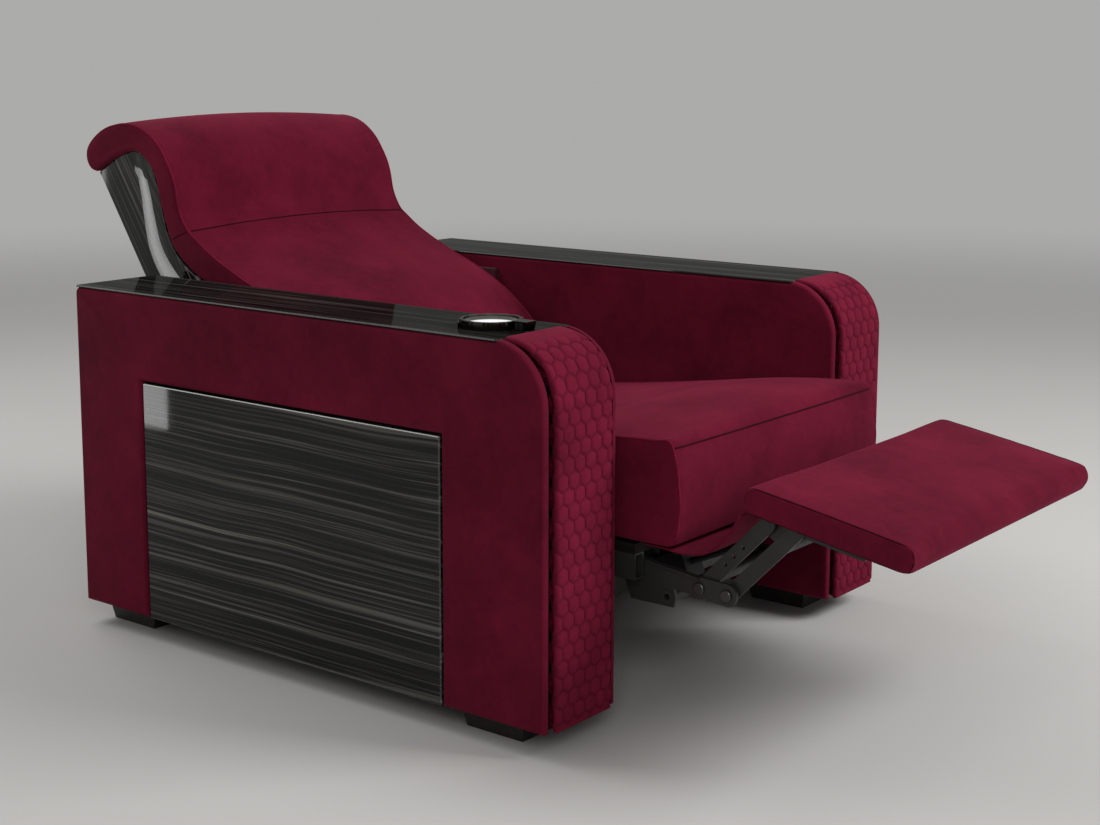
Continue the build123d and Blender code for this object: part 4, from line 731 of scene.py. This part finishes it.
def wooden_side(side, sign):
    build = bmesh.new()
    rows = []
    for near, far in zip(inner_edge, outer_edge):
        run = max((far - near).length, 0.5)
        start = min(CHAMFER, run / 4)
        close, shaped = min(SHAPED_WIDTH, run - start), STATIONS - 4
        stations = [0] + [start + (close - start) * s / shaped for s in range(shaped + 1)]
        stations += [run - CHAMFER if run > SHAPED_WIDTH + CHAMFER else stations[-1], run]
        row = [build.verts.new(side_view(*near, sign * shell_in))]
        for distance in stations:
            place = near + (far - near) * (distance / run)
            rise = rise_of_wood(place, run - distance) - (CHAMFER if distance == run else 0)
            row.append(build.verts.new(side_view(*place, sign * (shell_out + rise))))
        row.append(build.verts.new(side_view(*far, sign * shell_in)))
        rows.append(row)
    skinned(build, rows)
    build.faces.new(rows[0])
    build.faces.new(rows[-1])
    bmesh.ops.remove_doubles(build, verts=build.verts, dist=0.00001)
    bmesh.ops.recalc_face_normals(build, faces=build.faces)
    mesh = mesh_of(build, f"wooden_side_{side}")
    shade_smooth(mesh, 35)
    piece = new_object(f"wooden_side_{side}", mesh, ebony_shell)
    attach(piece, "back")
    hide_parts(f"back_shell_{side}")
    print(piece.name, len(mesh.polygons), "faces")


for side, sign in SIDES:
    wooden_side(side, sign)

# %% [markdown]
# ## Cushions
#
# A cushion is foam in a tight cover: its panels belly out between the seams, and each seam holds a valley.
# The plain solids already have the right profile, so each is copied, remeshed to even quads and drawn in a
# little. Then a short cloth simulation with air pressure inside blows the panels out again, while the seam
# lines and the faces that rest on boards stay pinned. Sculpting the bulges by hand would also work, but the
# simulation gives the soft corners for nothing.

# %% Slice a mesh to find where a seam runs
def slice_loop(mesh, x):
    """The longest closed loop, as points in order, in which the plane at x cuts the mesh."""
    build = bmesh.new()
    build.from_mesh(mesh)
    cut = bmesh.ops.bisect_plane(build, geom=build.verts[:] + build.edges[:] + build.faces[:],
                                 plane_co=(x, 0, 0), plane_no=(1, 0, 0))["geom_cut"]
    neighbours = {}
    for edge in [e for e in cut if isinstance(e, bmesh.types.BMEdge)]:
        here, there = edge.verts
        neighbours.setdefault(here, []).append(there)
        neighbours.setdefault(there, []).append(here)
    loops, seen = [], set()
    for start in neighbours:
        if start in seen:
            continue
        loop, here, before = [], start, None
        while here is not None and here not in seen:
            seen.add(here)
            loop.append(here.co.copy())
            onward = [v for v in neighbours[here] if v is not before and v not in seen]
            before, here = here, (onward[0] if onward else None)
        loops.append(loop)
    build.free()
    return max(loops, key=len)


def part_of_loop(loop, start, end, via):
    """The stretch of a loop between the points nearest to start and end that passes nearest to via."""
    count = len(loop)
    first, last = (min(range(count), key=lambda k: (loop[k] - point).length) for point in (start, end))
    ways = []
    for step in (1, -1):
        way, k = [loop[first]], first
        while k != last:
            k = (k + step) % count
            way.append(loop[k])
        ways.append(way)
    return min(ways, key=lambda way: min((p - via).length for p in way))


def evenly(line, step=2.0):
    """The same line with a point every so many millimetres."""
    points = np.array([list(p) for p in line])
    lengths = np.concatenate(([0], np.cumsum(np.linalg.norm(np.diff(points, axis=0), axis=1))))
    places = np.linspace(0, lengths[-1], max(round(lengths[-1] / (step * MM)), 2))
    return [Vector(np.interp(place, lengths, points[:, axis]) for axis in range(3)) for place in places]


# %% Remesh, draw in and blow up a cushion
SIM_FRAMES, PRESSURE = 20, 4.0
SEAM_DEPTH, WELT_DEPTH, RESTING_DEPTH = 1.5, 1.5, 0.3
SEAM_REACH = 0.8
SEAT_REST, BACK_REST = 6, 8


def merged_copy(*nodes):
    """The nodes' meshes in place as one mesh, with their loose triangles joined."""
    build = bmesh.new()
    for node in nodes:
        build.from_mesh(frame["nodes"][node].data)
    bmesh.ops.remove_doubles(build, verts=build.verts, dist=0.00002)
    return mesh_of(build, nodes[0] + "_copy")


def with_modifiers(piece):
    """The piece's mesh with its modifiers worked in, and the modifiers gone."""
    result = piece.evaluated_get(bpy.context.evaluated_depsgraph_get())
    mesh = bpy.data.meshes.new_from_object(result)
    piece.modifiers.clear()
    piece.data = mesh
    return piece


def read_vectors(items, name):
    """One vector of each item, as the rows of an array."""
    flat = np.empty(len(items) * 3)
    items.foreach_get(name, flat)
    return flat.reshape(-1, 3)


def set_points(mesh, points):
    mesh.vertices.foreach_set("co", points.ravel())
    mesh.update()


def near_lines(points, lines, reach):
    """Which of the points lie within reach of any of the lines."""
    tree = tree_of(point for line in lines for point in line)
    return np.array([bool(lines) and tree.find(point)[2] < reach for point in points])


def cushion(name, nodes, body, welted, sunk, pinned, voxel, inset, cap):
    """A cushion from plain solids.

    Welted and sunk seams are lists of points, and pinned tells which points rest on a board. The voxels, the
    inset before the cushion is blown up and the cap on how far it may swell are in millimetres.
    """
    piece = new_object(name, merged_copy(*nodes), velvet_plain)
    modify(piece, "Even quads", "REMESH", mode="VOXEL", voxel_size=voxel * MM)
    modify(piece, "Relax", "SMOOTH", factor=0.5, iterations=8)
    solid = new_object(name + "_solid", merged_copy(*nodes), velvet_plain)
    modify(piece, "Back on the solid", "SHRINKWRAP", target=solid, wrap_method="NEAREST_SURFACEPOINT")
    with_modifiers(piece)
    bpy.data.objects.remove(solid)
    mesh = piece.data
    start = read_vectors(mesh.vertices, "co")
    rests = np.array([pinned(Vector(point)) for point in start])
    at_welt, at_sunk = [near_lines(start, lines, SEAM_REACH * voxel * MM) for lines in (welted, sunk)]
    depth = np.where(at_welt, WELT_DEPTH, np.where(rests, RESTING_DEPTH, inset))
    depth = np.where(at_sunk, inset + SEAM_DEPTH, depth)
    start -= read_vectors(mesh.vertex_normals, "vector") * depth[:, None] * MM
    set_points(mesh, start)
    held = [int(k) for k in np.flatnonzero(rests | at_welt | at_sunk)]
    piece.vertex_groups.new(name="held").add(held, 1.0, "REPLACE")
    cloth = modify(piece, "Cloth", "CLOTH")
    configure(cloth.settings, quality=5, mass=0.3, tension_stiffness=12, compression_stiffness=12,
              use_pressure=True, uniform_pressure_force=PRESSURE, vertex_group_mass="held")
    cloth.settings.effector_weights.gravity = 0
    configure(cloth.point_cache, frame_start=1, frame_end=SIM_FRAMES)
    for k in range(1, SIM_FRAMES + 1):
        bpy.context.scene.frame_set(k)
    with_modifiers(piece)
    bpy.context.scene.frame_set(1)
    mesh = piece.data
    moved = read_vectors(mesh.vertices, "co") - start
    lengths = np.linalg.norm(moved, axis=1, keepdims=True)
    moved *= cap * MM * np.tanh(lengths / (cap * MM)) / np.maximum(lengths, 1e-9)
    set_points(mesh, start + moved)
    print(name, "moved by up to", round(float(lengths.max()) * 1000, 1), "mm before the cap")
    piece.vertex_groups.clear()
    modify(piece, "Soften", "SMOOTH", factor=0.5, iterations=2)
    modify(piece, "Finer", "SUBSURF", levels=1, render_levels=1)
    with_modifiers(piece)
    repaint(piece.data, velvet_plain)
    piece.data.shade_smooth()
    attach(piece, body)
    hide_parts(*nodes)
    print(name, len(piece.data.polygons), "faces,", len(held), "points held")
    return piece


# %% [markdown]
# ## Welts and seams
#
# A welt is a thin cord sewn into a seam, covered in the same velvet but painted lighter, as a painted
# highlight along its round. It follows the seam exactly, so a Geometry Nodes tree sweeps a small round along
# a line that is taken from the finished cushion. A plain seam is the same thing, thinner, sunk to the bottom
# of its valley and painted near black: painted shade for that valley.

# %% Geometry Nodes: a round cord along a line
def make_welt():
    inputs = [("Line", GEOMETRY), ("Radius", FLOAT, 0.002), ("Sides", "NodeSocketInt", 8), ("Step", FLOAT, 0.004),
              ("Material", MATERIAL)]
    tree, given, result = group("Welt", "GeometryNodeTree", inputs, [("Mesh", GEOMETRY)])
    even = add(tree, "GeometryNodeResampleCurve", {"Curve": given["Line"], "Length": given["Step"]}, mode="LENGTH")
    section = add(tree, "GeometryNodeCurvePrimitiveCircle",
                  {"Resolution": given["Sides"], "Radius": given["Radius"]})
    tube = add(tree, "GeometryNodeCurveToMesh",
               {0: even.outputs[0], 1: section.outputs[0], "Fill Caps": True})
    return made_real(tree, tube, given, result)


WELT = make_welt()


def welt(name, lines, radius, material, body, soften=6, sides=8):
    """Cords along one or more lines, in one piece. A line is averaged with its neighbours a few times."""
    curve = bpy.data.curves.new(name, "CURVE")
    curve.dimensions = "3D"
    for line in lines:
        points = np.array([list(p) for p in line])
        for _ in range(soften):
            points[1:-1] = (points[:-2] + 2 * points[1:-1] + points[2:]) / 4
        spline = curve.splines.new("POLY")
        spline.points.add(len(points) - 1)
        spline.points.foreach_set("co", np.hstack([points, np.ones((len(points), 1))]).ravel())
    mesh = grown(name, WELT, source=curve, Radius=radius * MM, Sides=sides, Material=material)
    mesh.shade_smooth()
    piece = new_object(name, mesh, material)
    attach(piece, body)
    return piece


def laid_on(surface, line, lift=0.0):
    """The line moved to the nearest places on a finished cushion, and lifted off it."""
    build = bmesh.new()
    build.from_mesh(surface.data)
    tree = BVHTree.FromBMesh(build)
    build.free()
    points = []
    for point in evenly(line, 4):
        place, normal, _, _ = tree.find_nearest(point)
        points.append(place + normal * lift * MM)
    return points


# %% [markdown]
# ## Seat cushion
#
# The seat is a box cushion with a deep rounded front. Its side panels meet the top and the front in a
# welted seam that turns the corner in a round, and one plain seam crosses the front where the top ends.

# %% Seat cushion
(_, _, seat_base), (seat_half, _, _) = measured("seat_cushion")
SIDE_SEAM = 3
SEAT_SEAM_VIA = [(-92, 300), (-90, 440), (520, 380)]
CROSS_LINE = (-94, 441)
seat_source = merged_copy("seat_cushion")
seat_sides = []
for sign in (1, -1):
    loop = slice_loop(seat_source, sign * (seat_half - SIDE_SEAM) * MM)
    start, via, end = [side_view(y, z, sign * seat_half) for y, z in SEAT_SEAM_VIA]
    seat_sides.append(evenly(part_of_loop(loop, start, end, via)))
cross_half = seat_half - SIDE_SEAM - 2
seat_cross = [side_view(*CROSS_LINE, x) for x in np.arange(-cross_half, cross_half + 1, 2)]
seat = cushion("seat_velvet", ["seat_cushion"], "seat", seat_sides, [seat_cross],
               lambda p: p.z < (seat_base + SEAT_REST) * MM, voxel=7, inset=4, cap=9)

# %% Seat welts and front seam
welt("seat_welt", [laid_on(seat, line, 0.4) for line in seat_sides], 1.7, highlit_welt_velvet, "seat")
welt("seat_front_seam", [laid_on(seat, seat_cross)], 1.5, seam_shade_velvet, "seat")

# %% [markdown]
# ## Back and head
#
# The back is upholstered in two lengths that meet in a sunk seam below the head. The head length rolls over
# the top and down behind it. One cover runs over both, so the two solids are remeshed as one skin. A
# boxing strip closes each side, joined to the front by a welt that runs from the seat to behind the roll.

# %% Back and head cushions
back_half = measured("back_cushion")[1][0]
WELT_INSET = 5
CROSS_SEAM = (984, 691)
BACK_SEAM_VIA = [(548, 413), (776, 587), CROSS_SEAM]
HEAD_SEAM_VIA = [CROSS_SEAM, (1100, 871), (1240, 785)]
BOXING_SEAM = [(988, 689), (1036, 668)]


def rests_on(points, reach):
    """A test for points that lie near a line of the side view."""
    tree = tree_of(side_view(y, z) for y, z in smooth_path(points, 120))
    return lambda p: tree.find((0, p.y, p.z))[2] < reach * MM


def front_seam(sign):
    """Where the boxing of one side meets the front, from the seat to behind the roll."""
    x = sign * (back_half - WELT_INSET)
    line = []
    for node, points in (("back_cushion", BACK_SEAM_VIA), ("head_cushion", HEAD_SEAM_VIA)):
        start, via, end = [side_view(y, z, x) for y, z in points]
        line += part_of_loop(slice_loop(merged_copy(node), x * MM), start, end, via)
    return evenly(line)


def boxing_seam(sign):
    return [side_view(y, z, sign * back_half) for y, z in smooth_path(BOXING_SEAM, 12)]


back_welts = [front_seam(sign) for sign in (1, -1)]
head_seam = [side_view(*CROSS_SEAM, x) for x in np.arange(-back_half + 12, back_half - 11, 3)]
back = cushion("back_velvet", ["back_cushion", "head_cushion"], "back", back_welts, [head_seam],
               rests_on(HEAD_INNER + BACK_INNER, BACK_REST), voxel=8, inset=3, cap=8)

# %% Welts and seams of the back
welt("back_welt", [laid_on(back, line, 0.5) for line in back_welts], 1.9, highlit_welt_velvet, "back")
welt("head_seam", [laid_on(back, head_seam)], 1.5, seam_shade_velvet, "back")
welt("boxing_seam", [laid_on(back, boxing_seam(sign)) for sign in (1, -1)], 1.1, seam_shade_velvet, "back")

# %% A roll under the back's lower edge closes the gap above the seat
ROLL_Y, ROLL_Z, ROLL_RADIUS, ROLL_HALF, ROLL_SAG = 556, 395, 14, 250, 7
roll_line = [side_view(ROLL_Y, ROLL_Z - ROLL_SAG * ramp(abs(x), ROLL_HALF / 3, ROLL_HALF), x)
             for x in range(-ROLL_HALF, ROLL_HALF + 1, 10)]
welt("foot_roll", [roll_line], ROLL_RADIUS, velvet_plain, "back", sides=24)

# %% [markdown]
# ## Footrest
#
# The footrest is a board with a padded cover pulled round it. End panels close its sides, with a fine
# seam all round each.

# %% Footrest pad
rest_half = measured("footrest_pad")[1][0]
REST_SEAM = 5
rest_source = merged_copy("footrest_pad")
rest_loops = [slice_loop(rest_source, sign * (rest_half - REST_SEAM) * MM) for sign in (1, -1)]
rest_seams = [evenly(loop + loop[:1]) for loop in rest_loops]
BOARD_REAR, BOARD_FRONT, BOARD_THICKNESS = (-219.2, 363.3), (-455.6, 321.6), 12
board_slope = (BOARD_REAR[1] - BOARD_FRONT[1]) / (BOARD_REAR[0] - BOARD_FRONT[0])


def under_rest(p):
    """True on the footrest's underside and round its board."""
    low = side_view(*BOARD_REAR)
    above = p.z - low.z - board_slope * (p.y - low.y)
    return above < 8 * MM or (above < (BOARD_THICKNESS + 4) * MM and abs(p.x) < (rest_half - 10) * MM
                              and side_view(*BOARD_FRONT).y < p.y < low.y)


rest = cushion("footrest_velvet", ["footrest_pad"], "footrest", rest_seams, [], under_rest,
               voxel=6, inset=3, cap=6)
welt("footrest_seam", [laid_on(rest, line) for line in rest_seams], 1.1, seam_shade_velvet, "footrest")

# %% [markdown]
# ## Flap
#
# A strip of the same velvet hangs from under the seat's front to the footrest's rear edge and hides the
# mechanism. It is a single sheet, so it is made as a grid along its line with a few soft folds.

# %% Flap
FLAP_LINE = [(-30, 287), (-64, 285), (-98, 282), (-134, 286), (-158, 301), (-180, 327), (-192, 347), (-197, 358)]
FLAP_HALF = measured("footrest_flap")[1][0]
FLAP_COLUMNS, FLAP_ROWS, FLAP_THICKNESS = 90, 40, 1.5
WIDE_FOLD, FINE_FOLD = 47, 23
FOLD_OUT, FOLD_UP = 1.2, 1.6
flap_path = smooth_path(FLAP_LINE, FLAP_ROWS)
flap_build = bmesh.new()
flap_rows = []
for k, (y, z) in enumerate(flap_path):
    slack = math.sin(math.pi * k / (FLAP_ROWS - 1))
    row = []
    for column in range(FLAP_COLUMNS + 1):
        x = FLAP_HALF * (2 * column / FLAP_COLUMNS - 1)
        fold = math.sin(x / WIDE_FOLD + 0.6) + 0.6 * math.sin(x / FINE_FOLD + 1.9 + k * 0.05)
        row.append(flap_build.verts.new(side_view(y + FOLD_OUT * slack * fold, z + FOLD_UP * slack * fold, x)))
    flap_rows.append(row)
skinned(flap_build, flap_rows, closed=False)
flap_mesh = mesh_of(flap_build, "flap_velvet")
flap_mesh.shade_smooth()
flap = new_object("flap_velvet", flap_mesh, velvet_plain)
modify(flap, "Thickness", "SOLIDIFY", thickness=FLAP_THICKNESS * MM, offset=0)
with_modifiers(flap)
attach(flap, "seat")
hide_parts("footrest_flap")
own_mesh(flap)

# %% [markdown]
# ## Studio
#
# A plain pale floor runs to a plain pale backdrop. A large soft light stands in front and to the right, a
# weaker one fills from the left, and one from behind draws the edges of the wood. Two small ones light
# nothing but gloss: they stand where the slopes of the back and a corner of the side panel mirror them. The
# world adds an even glow.

# %% Floor and backdrop
FLOOR_TONE = (0.56, 0.55, 0.535)
BACKDROP_TONE = (0.98, 0.98, 0.965)
GLOW, BACKDROP = 0.3, 0.42
HAZE_START, HAZE_END, FLOOR_RADIUS = 2.6, 8.0, 14
floor_material, floor_tree, floor_shader, floor_place = new_material("pale_floor")
floor_tones = [[c * k for c in FLOOR_TONE] for k in (0.97, 1.03)]
feed(floor_tree, floor_shader,
     Base_Color=mixed(floor_tree, noise(floor_tree, floor_place, 1.2, 3.0), *floor_tones))
set_values(floor_shader, Roughness=1.0, Specular_IOR_Level=0.0)
distance = vector_calc(floor_tree, "LENGTH", floor_place).outputs["Value"]
far_away = eased(floor_tree, distance, HAZE_START, HAZE_END)
floor_rays = add(floor_tree, "ShaderNodeLightPath").outputs
floor_seen = calc(floor_tree, "MAXIMUM", floor_rays["Is Camera Ray"], floor_rays["Is Glossy Ray"])
haze = add(floor_tree, "ShaderNodeEmission", {"Color": (*BACKDROP_TONE, 1), "Strength": BACKDROP})
blend = add(floor_tree, "ShaderNodeMixShader",
            {0: calc(floor_tree, "MULTIPLY", far_away, floor_seen),
             1: floor_tree.nodes["Principled BSDF"].outputs[0], 2: haze.outputs[0]})
feed(floor_tree, floor_tree.nodes["Material Output"].inputs, Surface=blend.outputs[0])
bpy.ops.mesh.primitive_circle_add(vertices=96, radius=FLOOR_RADIUS, fill_type="NGON")
floor = bpy.context.object
floor.name = "floor"
floor.data.materials.append(floor_material)


# %% Lights
def area_light(name, place, target, size, power, mirrored_only=False):
    """A soft lamp. The camera never sees it, and one that is mirrored only lights nothing but gloss."""
    lamp = configure(bpy.data.lights.new(name, "AREA"), shape="RECTANGLE", size=size[0], size_y=size[1],
                     energy=power)
    aim = (Vector(target) - Vector(place)).to_track_quat("-Z", "Y").to_euler()
    configure(placed(name, lamp), location=place, rotation_euler=aim, visible_camera=False,
              visible_diffuse=not mirrored_only)


area_light("key", (1.7, -3.3, 3.0), (0, 0, 0.4), (2.2, 1.6), 150)
area_light("fill", (-2.9, -2.6, 2.2), (0, 0, 0.4), (1.8, 1.4), 32)
area_light("rear top", (-0.6, 2.6, 3.1), (0, 0.1, 0.4), (3.2, 1.8), 60)
area_light("slope strip", (-0.72, 1.7, 0.38), (-0.72, 0.7, 0.38), (0.5, 0.7), 3.2, mirrored_only=True)
area_light("panel patch", (-1.5, 1.73, 0.225), (-0.5, 1.73, 0.225), (0.24, 0.35), 1.6, mirrored_only=True)


def make_world():
    """An even glow. What the camera sees and what gloss mirrors is a pale backdrop."""
    world = bpy.data.worlds.new("studio")
    world.use_nodes = True
    tree = world.node_tree
    background = tree.nodes["Background"]
    rays = add(tree, "ShaderNodeLightPath").outputs
    seen = calc(tree, "MAXIMUM", calc(tree, "MAXIMUM", rays["Is Camera Ray"], rays["Is Glossy Ray"]),
                rays["Is Transmission Ray"])
    background.inputs[0].default_value = (*BACKDROP_TONE, 1)
    feed(tree, background.inputs, Strength=ranged(tree, seen, 0.0, 1.0, GLOW, BACKDROP))
    return world


bpy.context.scene.world = make_world()

# %% Camera
CAMERA_PLACE = (-2.4156, -1.9053, 1.0164)
CAMERA_AZIMUTH, CAMERA_PITCH, LENS = -51.374, 8.8, 58.3
camera_data = configure(bpy.data.cameras.new("camera"), sensor_width=36, lens=LENS, shift_x=0.0199, shift_y=-0.08)
azimuth, pitch = math.radians(CAMERA_AZIMUTH), math.radians(CAMERA_PITCH)
looking_back = Vector((math.sin(azimuth) * math.cos(pitch), -math.cos(azimuth) * math.cos(pitch), math.sin(pitch)))
camera = configure(placed("camera", camera_data), location=CAMERA_PLACE,
                   rotation_euler=(-looking_back).to_track_quat("-Z", "Y").to_euler())
bpy.context.scene.camera = camera
bpy.context.scene.view_settings.view_transform = "Standard"
